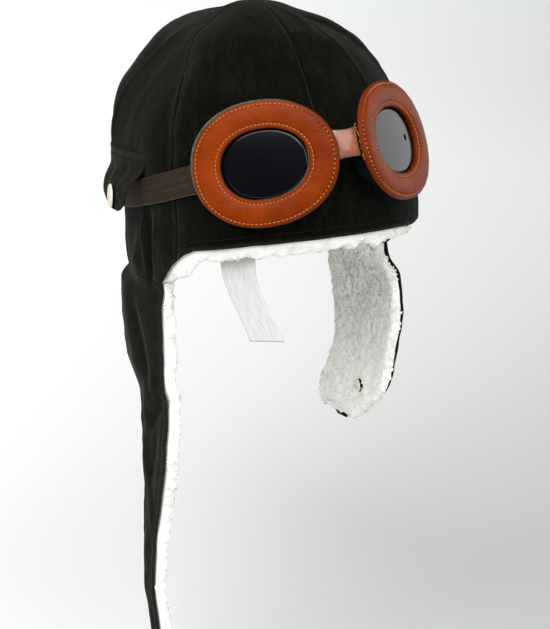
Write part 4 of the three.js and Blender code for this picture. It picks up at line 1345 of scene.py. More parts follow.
            # The tone sets the curls and also the pile's painted shade: 0 on the back against the cloth,
            # rising from 0 where the roll comes out from under the cloth, and held to 0.8 under the flaps.
            if v < 0.2:
                share = (1 - v / 0.2) ** self.crowding
                return self.behind(angle, lerp(foot_row, form.top_row, share), skin + self.slack), 0.0
            if v < 0.4:
                turn = math.pi * (v - 0.2) / 0.2
                free = 1 - form.flap_share(angle)
                lump = 1 + 0.4 * noise.noise(Vector((angle * 0.16, 2.7, 0)))
                lump += 0.7 * bell(angle - self.tuft_right, 3.5) + 0.5 * bell(angle + self.tuft_left, 5)
                row = form.row_at(foot - self.pile_roll * free * lump * math.sin(turn))
                depth = skin + self.slack + (self.pile - self.slack) * (1 - math.cos(turn)) / 2
                return self.behind(angle, row, depth), smoothstep(turn, 0, 1) * lerp(0.8, 1, free)
            share = (v - 0.4) / 0.6
            row = lerp(foot_row, form.top_row, share**self.crowding)
            return self.behind(angle, row, skin + self.pile), 1.0

        bm = grid_mesh(place, self.detail.count(380), self.detail.count(105))
        fluff(bm, self.curl, self.curl_depth)
        low = form.HEIGHT * -0.02

        def keep(point: Vector) -> float:
            return 1.0 if point.z < low else 0.35

        curls = scatter_curls(bm, 5200 if self.detail is FULL else 1500, 11, keep)
        lining = as_object("crown_pile", bm, self.finishes.pile, Slot.SHERPA)
        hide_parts("crown_lining")
        locks = as_object("crown_pile_curls", curls, self.finishes.pile, Slot.SHERPA)
        return [lining, locks]


@dataclass
class EarFlap:
    """One ear flap: a cotton shell with topstitching and its pile."""

    crown: Crown
    form: CrownForm
    finishes: Finishes
    detail: Detail
    side: Side
    rows: Sequence[FlapRow]
    length: float
    margin: float
    tip_gap: float = 0.0
    fore_margin: float = 0.0
    width: float = 80 * MM
    spread: float = 85 * MM
    cloth: float = 1.5 * MM
    clearance: float = 0.3 * MM
    pile: float = 7.5 * MM
    slack: float = 1.2 * MM
    hem: float = 5 * MM
    carry: float = 18 * MM
    curl: float = 4.6 * MM
    curl_depth: float = 1.9 * MM
    curls: int = 2200
    table: Table = field(init=False)

    def __post_init__(self) -> None:
        """Takes the outline table apart."""
        self.table = Table(self.rows, "drop")

    def plain(self, drop: float, across: float) -> Vector:
        """The smooth outside of the flap.

        Args:
            drop: Share of the flap's length below the seam.
            across: Place across it, -1 at the fore edge and 1 at the aft edge.

        Returns:
            The point.
        """
        form = self.form
        side = self.side.value
        fore = self.table.smooth("fore", drop) * self.width
        aft = self.table.smooth("aft", drop) * self.width
        y = lerp(fore, aft, (across + 1) / 2)
        fore_out, mid_out, aft_out = (self.table.smooth(n, drop) for n in ("fore_out", "mid_out", "aft_out"))
        slope = (aft_out - fore_out) / 2
        bow = (aft_out + fore_out) / 2 - mid_out
        held = min(max(across, -1.2), 1.2)
        hang = side * self.spread * (mid_out + slope * held + bow * held * held)
        z = -form.DROP - 2 * self.clearance - drop * self.length
        row = form.row_at(max(z, CROWN_SECTIONS[0].height * form.HEIGHT))
        reach, beside = form.spans(-y, side, row)
        crown_x = side * beside * math.sqrt(max(1 - (y / reach) ** 2, 0))
        blend = smoothstep(drop * self.length, 0, 0.4 * form.DROP)
        return Vector((lerp(crown_x, hang, blend), y, z))

    def normal(self, drop: float, across: float) -> Vector:
        """The level outward normal of the flap."""
        step = 0.01
        low = self.plain(min(drop + step, 1), across)
        high = self.plain(max(drop - step, 0), across)
        fore = self.plain(drop, across - step)
        aft = self.plain(drop, across + step)
        normal = (low - high).cross(aft - fore)
        normal.z = 0
        normal.normalize()
        return normal if normal.x * self.side.value > 0 else -normal

    def half_width(self, drop: float) -> float:
        """Half of the flap's width at a level."""
        across = self.table.smooth("aft", drop) - self.table.smooth("fore", drop)
        return max(across * self.width / 2, 1 * MM)

    def creases(self, drop: float, across: float, edge: float) -> float:
        """How far the cloth is drawn in by its hem, stitching and folds."""
        point = self.plain(drop, across)
        dip = 1.2 * MM * bell(edge, 0.9 * MM) + 0.3 * MM * bell(edge - self.hem, 0.8 * MM)
        pucker = noise.noise(Vector((self.side.value * 3.1, 0, point.z * 110)))
        dip += 0.6 * MM * pucker * bell(edge - 0.5 * self.hem, self.hem)
        folds = noise.noise(Vector((point.y * 26 + point.z * 9, point.z * 14, 2.3))) * 1.1 * MM
        folds += noise.noise(point * 90) * 0.4 * MM - self._fold_height(point, drop)
        below = drop * self.length
        carried = self._carried(point) * (1 - smoothstep(below, 0, self.carry)) if below < self.carry else 0.0
        return dip - carried + folds * smoothstep(edge, -4 * MM, 10 * MM) * smoothstep(below, 0, self.carry)

    def _carried(self, point: Vector) -> float:
        """How far the crown's folds stand out where they run on into the flap."""
        angle = self.form.angle_of(point)
        return self.form.fold_height(MAIN_FOLDS, angle, point.z) + self.crown.relief(angle, point)

    def _fold_height(self, point: Vector, drop: float) -> float:
        """How far the flap's own folds stand out at a point."""
        total = 0.0
        for fold in FLAP_FOLDS:
            if fold.side is not self.side:
                continue
            aft = point.y - fold.aft * self.width
            up = (fold.drop - drop) * self.length
            lean = math.radians(fold.lean)
            along = (up * math.cos(lean) - aft * math.sin(lean)) / (fold.length * self.width)
            aside = (aft * math.cos(lean) + up * math.sin(lean)) / (fold.width * self.width)
            if abs(along) < 2 and abs(aside) < 3:
                total += fold.depth * self.form.FOLD_DEPTH * math.exp(-aside * aside - along**4)
        return total

    def edge_distance(self, drop: float, across: float) -> float:
        """Distance to the nearest free edge."""
        aside = (1 - abs(across)) * self.half_width(drop)
        return min(aside, (1 - drop) * self.length + 0.3 * MM)

    def build(self) -> list[Object]:
        """Makes the shell, its stitches and the pile."""
        return [self._shell(), self._stitching(), *self._lining()]

    def _shell(self) -> Object:
        """The cotton outside."""

        def place(u: float, v: float) -> Spot:
            across = math.sin((2 * u - 1) * math.pi / 2) * 0.4 + (2 * u - 1) * 0.6
            edge = self.edge_distance(v, across)
            point = self.plain(v, across) - self.normal(v, across) * self.creases(v, across, edge)
            frayed = noise.noise(Vector((across, 0, point.z * 480)))
            point.y += 0.5 * MM * frayed * smoothstep(abs(across), 0.9, 1)
            # Painted sheen and wear: the 0.1 ground pales the whole shell as painted sheen, and the rise at
            # the free edge is rub wear.
            return point, lerp(0.1, 0.45, bell(edge - 1.2 * MM, 1.2 * MM))

        rows = self.detail.count(int(self.length / (1.5 * MM)))
        bm = grid_mesh(place, self.detail.count(64), rows, cut=(self.width, self.length))
        face_outward(bm, lambda face: face.normal.x * self.side.value)
        piece = as_object(f"{self.side.word}_flap_cloth", bm, self.finishes.cotton, Slot.COTTON)
        give_wall(piece, self.cloth * 0.9)
        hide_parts(f"ear_flap_{self.side.word}")
        return piece

    def _stitching(self) -> Object:
        """One topstitch row inside the free edge."""
        thread = Repeats(stitch_shape(2.4 * MM, 0.27 * MM))
        turn_drop = 1 - 1.15 * self.hem / self.length

        def trace(t: float) -> tuple[Vector, Vector]:
            leg = min(t / 0.46, 1.0) if t < 0.5 else min((1 - t) / 0.46, 1.0)
            drop = 0.02 + (turn_drop - 0.02) * leg
            reach = max(1 - self.hem / self.half_width(drop), 0.0)
            across = reach * (-1 if t < 0.5 else 1)
            if leg >= 1:
                across = reach * math.sin((t - 0.5) / 0.04 * math.pi / 2)
            inset = self.creases(drop, across, self.hem) - 0.2 * MM
            normal = self.normal(drop, across)
            return self.plain(drop, across) - normal * inset, normal

        stitch_along(thread, trace, 3.1 * MM, samples=900)
        name = f"{self.side.word}_flap_stitching"
        return as_object(name, thread.done(), self.finishes.black_thread, Slot.COTTON)

    def _lining(self) -> list[Object]:
        """The pile, rolled out past the shell's edge."""
        skin = self.cloth + self.clearance
        face, arc = 0.72, 0.86

        def place(u: float, v: float) -> Spot:
            turn = 2 * u - 1
            sign = 1 if turn > 0 else -1
            size = abs(turn)
            drop = v
            curled = 1.0
            half = self.half_width(drop)
            ragged = 1 + 0.45 * noise.noise(Vector((turn * 0.6, 1.3, drop * self.length * 190)))
            margin = self.fore_margin if turn < 0 and self.fore_margin else self.margin
            spread = margin * ragged * smoothstep(drop * self.length, 4 * MM, 20 * MM)
            # curled is the tone: it sets the curls and also the pile's painted shade, falling to 0 where the
            # roll turns back under the shell.
            if size < face:
                across, depth = sign * size / face, self.pile
            elif size < arc:
                angle = math.pi * (size - face) / (arc - face)
                across = sign * (1 + spread / half * math.sin(angle))
                depth = self.pile * (1 + math.cos(angle)) / 2
                curled = 1 - smoothstep(angle, 2.2, math.pi)
            else:
                across, depth, curled = sign * (1 - (size - arc) / (1 - arc)), 0.0, 0.0
            away = skin + self.slack + depth * (1 - self.slack / self.pile)
            point = self.plain(drop, across)
            away -= self._fold_height(point, drop)
            point -= self.normal(drop, min(max(across, -1), 1)) * away
            point.z += (self.tip_gap - spread * 0.4) * smoothstep(drop, 0.93, 1.0)
            return point, curled

        rows = self.detail.count(int(self.length / (1.25 * MM)))
        bm = grid_mesh(place, self.detail.count(130), rows)
        close_ends(bm)
        fluff(bm, self.curl, self.curl_depth)

        def keep(point: Vector) -> float:
            return 1.0 if point.z < -self.form.DROP - 3 * MM else 0.2

        curls = scatter_curls(bm, self.detail.count(self.curls), 23 + self.side.value, keep)
        pile = as_object(f"{self.side.word}_flap_pile", bm, self.finishes.pile, Slot.SHERPA)
        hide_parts(f"flap_lining_{self.side.word}")
        locks = as_object(f"{self.side.word}_flap_curls", curls, self.finishes.pile, Slot.SHERPA)
        return [pile, locks]


@dataclass
class LensFrame:
    """Where a lens sits: the middle of its ring's back, and its axes."""

    side: Side
    nose_gap: float = 17.1 * MM
    nose_standoff: float = 19.26 * MM
    ring_width: float = 84 * MM
    rise: float = 43.6 * MM
    shift: float = 1.5 * MM
    yaw: float = 39.4
    lean: float = 17.8
    droop: float = 9.6
    roll: float = -4.2
    thickness: float = 3.6 * MM
    middle: Vector = field(init=False)
    ahead: Vector = field(init=False)
    out: Vector = field(init=False)
    up: Vector = field(init=False)

    def __post_init__(self) -> None:
        """Works out the axes."""
        side = self.side.value
        yaw, lean, droop = (math.radians(a) for a in (self.yaw, self.lean, self.droop))
        level = Vector((side * math.sin(yaw), -math.cos(yaw), 0))
        flat = Vector((side * math.cos(yaw), math.sin(yaw), 0))
        rise = Vector((0, 0, 1))
        ahead = level * math.cos(lean) + rise * math.sin(lean)
        tall = rise * math.cos(lean) - level * math.sin(lean)
        out = flat * math.cos(droop) - tall * math.sin(droop)
        up = flat * math.sin(droop) + tall * math.cos(droop)
        turn = Matrix.Rotation(math.radians(self.roll), 3, "Y")
        pivot = Vector((self.shift, -CrownForm.FRONT - self.nose_standoff, self.rise))
        beside = Vector((side * self.nose_gap / 2, 0, 0)) + flat * self.ring_width / 2
        self.ahead, self.out, self.up = turn @ ahead, turn @ out, turn @ up
        self.middle = pivot + turn @ beside - self.ahead * self.thickness / 2

    def at(self, along: float, high: float, depth: float) -> Vector:
        """A point given in the lens's own axes."""
        return self.middle + self.out * along + self.up * high + self.ahead * depth


@dataclass
class Goggle:
    """One goggle: leather ring, stitches, backing, lens and eye cup."""

    form: CrownForm
    finishes: Finishes
    detail: Detail
    side: Side
    width: float = 84 * MM
    height: float = 69 * MM
    opening_width: float = 51 * MM
    opening_height: float = 38.6 * MM
    thickness: float = 3.6 * MM
    inner_row: float = 0.155
    outer_row: float = 0.868
    squareness: float = 2.15
    fullness: float = 0.03
    lens_lap: float = 3 * MM
    lens_dome: float = 0.6 * MM
    lens_step: float = 1.5 * MM
    lens_thickness: float = 2 * MM
    pad_setback: float = 3.5 * MM
    pad_taper: float = 9 * MM
    pad_depth: float = 26 * MM
    pad_gap: float = 0.9 * MM
    backing: float = 0.9 * MM
    backing_span: tuple[float, float] = (0.045, 0.995)
    backing_out: float = 1.8 * MM
    backing_up: float = 1.1 * MM
    backing_drop: float = 0.5 * MM
    clearance: float = 0.3 * MM
    frame: LensFrame = field(init=False)

    def __post_init__(self) -> None:
        """Places the lens."""
        self.frame = LensFrame(self.side, thickness=self.thickness)

    def outline(self, half_width: float, half_height: float, turn: float) -> tuple[float, float]:
        """A rounded outline round the lens, a little fuller away from the nose."""
        power = 2 / self.squareness
        share, tall = signed_power(math.cos(turn), power), signed_power(math.sin(turn), power)
        return half_width * share, half_height * tall * (1 + self.fullness * share)

    def ring_point(self, turn: float, across: float, depth: float) -> Vector:
        """A point of the ring, from its opening, 0, to its outer edge, 1."""
        half_width = lerp(self.opening_width, self.width, across) / 2
        half_height = lerp(self.opening_height, self.height, across) / 2
        along, high = self.outline(half_width, half_height, turn)
        return self.frame.at(along, high, depth)

    def build(self) -> list[Object]:
        """Makes the goggle's pieces."""
        pieces = [self._ring(), *self._stitching(), self._backing(), self._lens(), self._pad()]
        if self.side is Side.LEFT:
            pieces.append(self._vent())
        return pieces

    def _ring(self) -> Object:
        """The padded leather ring."""
        across = [point.across for point in RING_SECTION]
        depth = [point.depth for point in RING_SECTION]
        last = len(RING_SECTION) - 1

        def place(u: float, v: float) -> Spot:
            turn = 2 * math.pi * u
            size = v * (last + 1)
            if size <= last:
                aside, tall = spline_at(across, size), spline_at(depth, size)
            else:
                aside, tall = lerp(across[-1], across[0], size - last), 0.0
            point = self.ring_point(turn, aside, tall * self.thickness)
            grain = noise.noise(point * 130) * 0.16 + noise.noise(point * 420) * 0.06
            top = smoothstep(tall, 0.3, 0.7)
            point += self.frame.ahead * grain * MM * top
            edge = bell(aside - 1, 0.05) + bell(aside, 0.05) + 0.4 * bell(aside - self.inner_row, 0.02)
            return point, min(edge + 0.4 * bell(aside - self.outer_row, 0.02), 1.0) * 0.6

        bm = grid_mesh(place, self.detail.count(240), self.detail.count(96), cut=(0.24, 0.04))
        bmesh.ops.recalc_face_normals(bm, faces=bm.faces)
        piece = as_object(f"leather_ring_{self.side.word}", bm, self.finishes.leather, Slot.LEATHER)
        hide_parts(f"lens_rim_{self.side.word}")
        return piece

    def _stitching(self) -> list[Object]:
        """Two rows of tan thread beside the opening and the outer edge, and dark needle holes between the
        outer row's stitches on the nose side: real holes, with painted shade as their dark colour.
        """
        thread = Repeats(stitch_shape(1.7 * MM, 0.25 * MM))
        # Painted shade: the needle holes are dark solids that stand for the shade inside real holes.
        holes = Repeats(stitch_shape(1.0 * MM, 0.3 * MM))

        def trace(across: float, depth: float, first: float, last: float) -> Trace:
            def at(t: float) -> tuple[Vector, Vector]:
                turn = 2 * math.pi * lerp(first, last, t)
                return self.ring_point(turn, across, depth * self.thickness), self.frame.ahead

            return at

        stitch_along(thread, trace(self.inner_row, 0.78, 0, 1), 2.3 * MM)
        stitch_along(thread, trace(self.outer_row, 0.73, 0, 1), 2.5 * MM)
        stitch_along(holes, trace(self.outer_row, 0.76, 0.34, 0.62), 2.5 * MM, shift=0.0)
        word = self.side.word
        return [
            as_object(f"ring_stitches_{word}", thread.done(), self.finishes.tan_thread, Slot.LEATHER),
            as_object(f"ring_needle_holes_{word}", holes.done(), self.finishes.foam, Slot.LEATHER),
        ]

    def _backing(self) -> Object:
        """Thin felt behind the leather, which the right ring lets show on one side of both its edges. The
        left ring's backing takes the dark foam finish instead, as painted shade.
        """
        near = self.side is Side.RIGHT
        shift = (self.frame.out * self.backing_out + self.frame.up * self.backing_up) * near

        def place(u: float, v: float) -> Spot:
            corner = 2 * math.pi * v
            size = lerp(*self.backing_span, 0.5 + 0.5 * signed_power(math.cos(corner), 0.4))
            thick = signed_power(math.sin(corner), 0.4)
            depth = self.backing * 0.5 * (thick - 0.4) - self.backing_drop * smoothstep(size, 0.6, 1)
            return self.ring_point(2 * math.pi * u, size, depth) + shift, 0.0

        bm = grid_mesh(place, self.detail.count(160), 16)
        # Painted shade: the left ring's backing is the same felt in shade, given the dark foam finish.
        finish = self.finishes.felt if near else self.finishes.foam
        return as_object(f"ring_backing_{self.side.word}", bm, finish, Slot.PAD_FOAM)

    def _lens(self) -> Object:
        """The domed lens behind the opening."""

        def place(u: float, v: float) -> Spot:
            turn = 2 * math.pi * u
            front = v < 0.5
            size = 2 * v if front else 2 - 2 * v
            reach_w = size * (self.opening_width / 2 + self.lens_lap)
            reach_h = size * (self.opening_height / 2 + self.lens_lap)
            along, high = self.outline(reach_w, reach_h, turn)
            dome = self.lens_dome * (1 - size * size) + self.lens_step * (1 - smoothstep(size, 0.84, 0.87))
            sunk = 0.0 if front else self.lens_thickness
            return self.frame.at(along, high, dome - self.clearance - self.backing - sunk), 0.0

        bm = grid_mesh(place, self.detail.count(96), 48)
        piece = as_object(f"smoked_lens_{self.side.word}", bm, self.finishes.lens, Slot.DARK_LENS)
        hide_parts(f"lens_{self.side.word}")
        return piece

    def _vent(self) -> Object:
        """A small dark vent plug near the lens's outer end."""
        bm = bmesh.new()
        bmesh.ops.create_uvsphere(bm, u_segments=24, v_segments=14, radius=1.0)
        bmesh.ops.scale(bm, verts=bm.verts, vec=(2.4 * MM, 2.1 * MM, 0.6 * MM))
        depth = self.lens_dome * 0.7 + self.lens_step - self.clearance - self.backing - 0.35 * MM
        middle = self.frame.at(0.6 * self.opening_width / 2, 0.5 * MM, depth)
        bmesh.ops.transform(bm, matrix=oriented(middle, self.frame.up, self.frame.ahead), verts=bm.verts)
        return as_object(f"lens_vent_{self.side.word}", bm, self.finishes.foam, Slot.PAD_FOAM)

    def _inside(self, point: Vector, margin: float) -> bool:
        """Whether a point lies inside the folded crown, grown by a margin."""
        form = self.form
        if point.z > form.HEIGHT + margin:
            return False
        row = form.row_at(point.z)
        ahead = form.length("middle", row) - point.y
        reach, beside = form.spans(ahead, point.x, row)
        angle = form.angle_of(point)
        normal = form.normal(angle, row)
        upright = math.hypot(normal.x, normal.y)
        grown = (margin + form.fold_height(MAIN_FOLDS, angle, point.z)) / max(upright, 0.05)
        return math.hypot(point.x / (beside + grown), ahead / (reach + grown)) < 1

    def _crown_depth(self, along: float, high: float) -> float:
        """Depth behind the ring at which the crown is met, by halving."""
        near, far = 0.0, self.pad_depth
        if not self._inside(self.frame.at(along, high, -far), self.pad_gap):
            return far
        for _ in range(18):
            middle = (near + far) / 2
            if self._inside(self.frame.at(along, high, -middle), self.pad_gap):
                far = middle
            else:
                near = middle
        return near

    def _pad(self) -> Object:
        """The foam eye cup, its back cut to the crown's curve."""
        lens = (self.opening_width / 2 + self.lens_lap, self.opening_height / 2 + self.lens_lap)
        inner = (lens[0] + self.clearance, lens[1])
        outer = (self.width / 2 - self.pad_setback, self.height / 2 - self.pad_setback)
        foot = (outer[0] - self.pad_taper, outer[1] - self.pad_taper)
        front = self.clearance + self.backing
        met: dict[tuple[int, bool], float] = {}

        def back(turn: float, size: tuple[float, float], outside: bool) -> float:
            key = (round(turn * 1000), outside)
            if key not in met:
                met[key] = max(self._crown_depth(*self.outline(*size, turn)), front + 1.5 * MM)
            return met[key]

        stops = (0.0, 0.45, 0.6, 0.9, 1.0)
        sizes = (outer, foot, inner, inner, outer)

        def place(u: float, v: float) -> Spot:
            turn = 2 * math.pi * u
            depths = (front, back(turn, foot, True), back(turn, inner, False), front, front)
            leg = min(bisect_right(stops, v) - 1, 3)
            share = (v - stops[leg]) / (stops[leg + 1] - stops[leg])
            swell = 0.0 if leg else 0.8 * MM * math.sin(math.pi * share)
            size = [lerp(sizes[leg][k], sizes[leg + 1][k], share) + swell for k in (0, 1)]
            along, high = self.outline(*size, turn)
            return self.frame.at(along, high, -lerp(depths[leg], depths[leg + 1], share)), 0.0

        bm = grid_mesh(place, self.detail.count(120), 40)
        piece = as_object(f"eye_cup_{self.side.word}", bm, self.finishes.foam, Slot.PAD_FOAM)
        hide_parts(f"goggle_pad_{self.side.word}")
        return piece


@dataclass
class Bridge:
    """The leather strip across the nose, with its loose thread ends."""

    goggles: dict[Side, Goggle]
    finishes: Finishes
    detail: Detail
    height: float = 17 * MM
    rise: float = 4 * MM
    thickness: float = 2.2 * MM
    tuck: float = 4.5 * MM
    clearance: float = 0.3 * MM

    def build(self) -> list[Object]:
        """Makes the strip and the threads."""
        return [self._strip(), self._threads()]

    def _point(self, t: float, high: float, depth: float) -> Vector:
        """A point of the strip, from the right goggle to the left."""
        high += self.rise
        ends = []
        for goggle in (self.goggles[Side.RIGHT], self.goggles[Side.LEFT]):
            along = -(goggle.width / 2 - goggle.pad_setback + self.clearance)
            sunk = -self.clearance - goggle.backing - depth
            ends.append([goggle.frame.at(reach, high, sunk) for reach in (along, along - self.tuck)])
        (a, b), (d, c) = ends
        s = 1 - t
        return a * s**3 + b * 3 * s * s * t + c * 3 * s * t * t + d * t**3

    def _strip(self) -> Object:
        """The strip, pinched in the middle, as a closed pad with rounded edges."""

        def place(u: float, v: float) -> Spot:
            corner = 2 * math.pi * u
            tall, thick = signed_power(math.cos(corner), 0.5), signed_power(math.sin(corner), 0.7)
            pinch = 1 - 0.1 * math.sin(math.pi * v)
            body = self.thickness - 0.5 * MM
            depth = body * (0.5 - 0.5 * thick) - 0.5 * MM * (1 - tall * tall) * math.sin(math.pi * v)
            point = self._point(v, tall * self.height / 2 * pinch, depth)
            crumple = noise.noise(point * 140) * 0.45 + noise.noise(point * 320) * 0.18
            point.y += crumple * MM * abs(thick)
            # The tone darkens the rolled top and bottom edges as burnish, and the end by the right ring as
            # painted shade, where the strip comes out from under that ring.
            return point, min(tall**6 + bell(v, 0.08), 1.0) * 0.7

        bm = grid_mesh(place, 56, self.detail.count(60))
        close_ends(bm)
        piece = as_object("bridge_strip", bm, self.finishes.bridge, Slot.LEATHER)
        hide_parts("goggle_bridge")
        return piece

    def _threads(self) -> Object:
        """Cross stitches and frayed ends where the strip meets the left ring."""
        thread = Repeats(stitch_shape(2.6 * MM, 0.2 * MM))
        chance = random.Random(5)
        goggle = self.goggles[Side.LEFT]
        for k in range(12):
            high = self.rise + lerp(-10, 9, k / 11) * MM
            base = goggle.frame.at(-goggle.width / 2 * chance.uniform(0.97, 1.02), high, 0.5 * MM)
            ahead = goggle.frame.out * chance.uniform(0.4, 1) + goggle.frame.up * chance.uniform(-1, 1)
            thread.put(oriented(base, ahead, goggle.frame.ahead))
        return as_object("bridge_threads", thread.done(), self.finishes.tan_thread, Slot.LEATHER)


@dataclass
class GoggleStrap:
    """The elastic that runs from one goggle round the back to the other."""

    goggles: dict[Side, Goggle]
    form: CrownForm
    finishes: Finishes
    detail: Detail
    width: float = 16.5 * MM
    thickness: float = 1.6 * MM
    lap: float = 3.2 * MM
    ease: float = 0.9 * MM

    def build(self) -> list[Object]:
        """Makes the strap."""
        table = Table(STRAP_PATH, "angle")
        rings = (self.goggles[Side.RIGHT], self.goggles[Side.LEFT])
        ends = (ring.frame.at(ring.width / 2 - self.lap, 0, 0) for ring in rings)
        first, last = (self.form.angle_of(end) for end in ends)

        def place(u: float, v: float) -> Spot:
            angle = lerp(first, 360 + last, v)
            middle = table.smooth("height", from_brow(angle)) * self.form.HEIGHT
            corner = 2 * math.pi * u
            across, thick = signed_power(math.cos(corner), 0.35), signed_power(math.sin(corner), 0.6)
            row = self.form.row_at(middle + across * self.width / 2)
            wave = noise.noise(Vector((angle * 0.2, 0, 4.1))) * 0.25 * MM
            out = self.ease + self.thickness * (0.5 + 0.5 * thick) + wave
            return self.form.at(angle, row, -out), smoothstep(-across, 0.86, 0.97) * 0.8

        bm = grid_mesh(place, 48, self.detail.count(420), cut=(2 * self.width, 0.5))
        uv = bm.loops.layers.uv.active
        for face in bm.faces:
            for loop in face.loops:
                turn, along = loop[uv].uv
                height = math.cos(math.pi * turn / self.width) * self.width / 2
                loop[uv].uv = (along, height)
        close_ends(bm)
        piece = as_object("elastic_strap", bm, self.finishes.elastic, Slot.ELASTIC)
        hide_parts("goggle_strap")
        return [piece]


def snap_shape(diameter: float, height: float) -> BMesh:
    """A snap's cap, turned from its half section."""
    radius = diameter / 2
    section = (
        (0, 0.62), (0.3, 0.62), (0.42, 0.66), (0.5, 0.9), (0.6, 1), (0.72, 0.98), (0.86, 0.82), (0.96, 0.5),
        (1, 0.2), (0.98, 0), (0, 0),
    )
    bm = bmesh.new()
    verts = [bm.verts.new((out * radius, 0, rise * height)) for out, rise in section]
    edges = [bm.edges.new(pair) for pair in zip(verts, verts[1:])]
    bmesh.ops.spin(
        bm, geom=[*verts, *edges], cent=(0, 0, 0), axis=(0, 0, 1), angle=2 * math.pi, steps=48, use_merge=True
    )
    bmesh.ops.remove_doubles(bm, verts=bm.verts, dist=1e-6)
    bmesh.ops.recalc_face_normals(bm, faces=bm.faces)
    return bm


@dataclass
class StrapTab:
    """A cotton tab that holds the strap to the crown, with its snap."""

    form: CrownForm
    finishes: Finishes
    detail: Detail
    side: Side
    width: float = 55 * MM
    length: float = 34.6 * MM
    top: float = 34 * MM
    lift: float = 13 * MM
    angle: float = 87
    tilt: float = 5
    snap_drop: float = 0.69
    snap_across: float = -0.15
    snap_diameter: float = 14.5 * MM
    snap_height: float = 1.7 * MM
    snap_lean: float = 0.15
    snap_turn: float = 12.0
    snap_rise: float = 1.1 * MM
    cloth: float = 1.5 * MM
    clearance: float = 0.3 * MM
    table: Table = field(init=False)

    def __post_init__(self) -> None:
        """Takes the outline table apart."""
        self.table = Table(TAB_OUTLINE, "drop")

    def point(self, drop: float, across: float, inset: float = 0.0) -> Vector:
        """A point of the tab's outside.

        Args:
            drop: Share of its length below the sewn edge.
            across: Place across it, -1 to 1.
            inset: Distance in from its outside.

        Returns:
            The point.
        """
        tilt = math.radians(self.tilt)
        aside = across * self.table.smooth("half", drop) * self.width / 2
        down = (drop - 0.5) * self.length
        height = self.top - self.length / 2 - down * math.cos(tilt) - aside * math.sin(tilt)
        along = aside * math.cos(tilt) - down * math.sin(tilt)
        angle = -self.side.value * (self.angle + math.degrees(along / self.form.SIDE))
        lift = self.table.smooth("lift", drop) * self.lift
        return self.form.at(angle, self.form.row_at(height), inset - self.clearance - self.cloth - lift)

    def facing(self, drop: float, across: float, step: float = 0.05) -> Vector:
        """The outward normal of the tab, taken over a step of its size."""
        down = self.point(min(drop + step, 1), across) - self.point(max(drop - step, 0), across)
        aft = self.point(drop, across + step) - self.point(drop, across - step)
        normal = down.cross(aft).normalized()
        return normal if normal.x * self.side.value > 0 else -normal

    def build(self) -> list[Object]:
        """Makes the tab, its stitches and its snap."""
        return [self._cloth(), self._stitching(), self._snap()]

    def _edge(self, drop: float, across: float) -> float:
        """Distance to the tab's free edge."""
        half = self.table.smooth("half", drop) * self.width / 2
        return min((1 - abs(across)) * half, (1 - drop) * self.length, drop * self.length + 2 * MM)

    def _cloth(self) -> Object:
        """Two layers of cotton, softly creased, with turned edges."""

        def place(u: float, v: float) -> Spot:
            across = 2 * u - 1
            edge = self._edge(v, across)
            inset = 0.6 * MM * bell(edge, 0.9 * MM)
            inset += 0.55 * MM * bell(v * self.length - 4 * MM, 0.7 * MM)
            for crease, deep in ((-0.35, 0.9), (0.12, -0.5), (0.42, 0.7)):
                deep *= smoothstep(v, 0.12, 0.4) * (1 - 0.6 * v)
                inset += deep * MM * bell(across - crease - 0.12 * v, 0.13)
            spot = self.point(v, across)
            inset += noise.noise(spot * 120) * 0.35 * MM
            point = spot - self.facing(v, across) * inset
            ridge = bell(v * self.length - 2 * MM, 1.2 * MM) + bell(edge - 1 * MM, 1 * MM)
            # Painted sheen and wear: the 0.16 ground pales the whole tab as painted sheen, and the rise at
            # the sewn edge and the free edges is rub wear.
            return point, lerp(0.16, 0.42, min(ridge, 1.0))

        bm = grid_mesh(place, self.detail.count(72), self.detail.count(56), cut=(self.width, self.length))
        face_outward(bm, lambda face: face.normal.x * self.side.value)
        piece = as_object(f"tab_cloth_{self.side.word}", bm, self.finishes.cotton, Slot.COTTON)
        give_wall(piece, self.cloth)
        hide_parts(f"strap_tab_{self.side.word}")
        return piece

    def _stitching(self) -> Object:
        """A row across the sewn edge."""
        thread = Repeats(stitch_shape(2.3 * MM, 0.27 * MM))

        def across_top(t: float) -> tuple[Vector, Vector]:
            drop, across = 4 * MM / self.length, lerp(-0.96, 0.96, t)
            normal = self.facing(drop, across)
            return self.point(drop, across) - normal * 0.4 * MM, normal

        stitch_along(thread, across_top, 3.0 * MM)
        name = f"tab_stitching_{self.side.word}"
        return as_object(name, thread.done(), self.finishes.black_thread, Slot.COTTON)

    def _snap(self) -> Object:
        """The nickel snap near the tab's tip."""
        middle = self.point(self.snap_drop, self.snap_across)
        normal = self.facing(self.snap_drop, self.snap_across, self.snap_lean)
        bm = snap_shape(self.snap_diameter, self.snap_height)
        normal.rotate(Matrix.Rotation(math.radians(self.side.value * self.snap_turn), 3, "Z"))
        seat = oriented(middle + normal * self.snap_rise, normal.orthogonal(), normal)
        bmesh.ops.transform(bm, matrix=seat, verts=bm.verts)
        piece = as_object(f"snap_cap_{self.side.word}", bm, self.finishes.cap, Slot.NICKEL)
        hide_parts(f"tab_snap_{self.side.word}")
        return piece


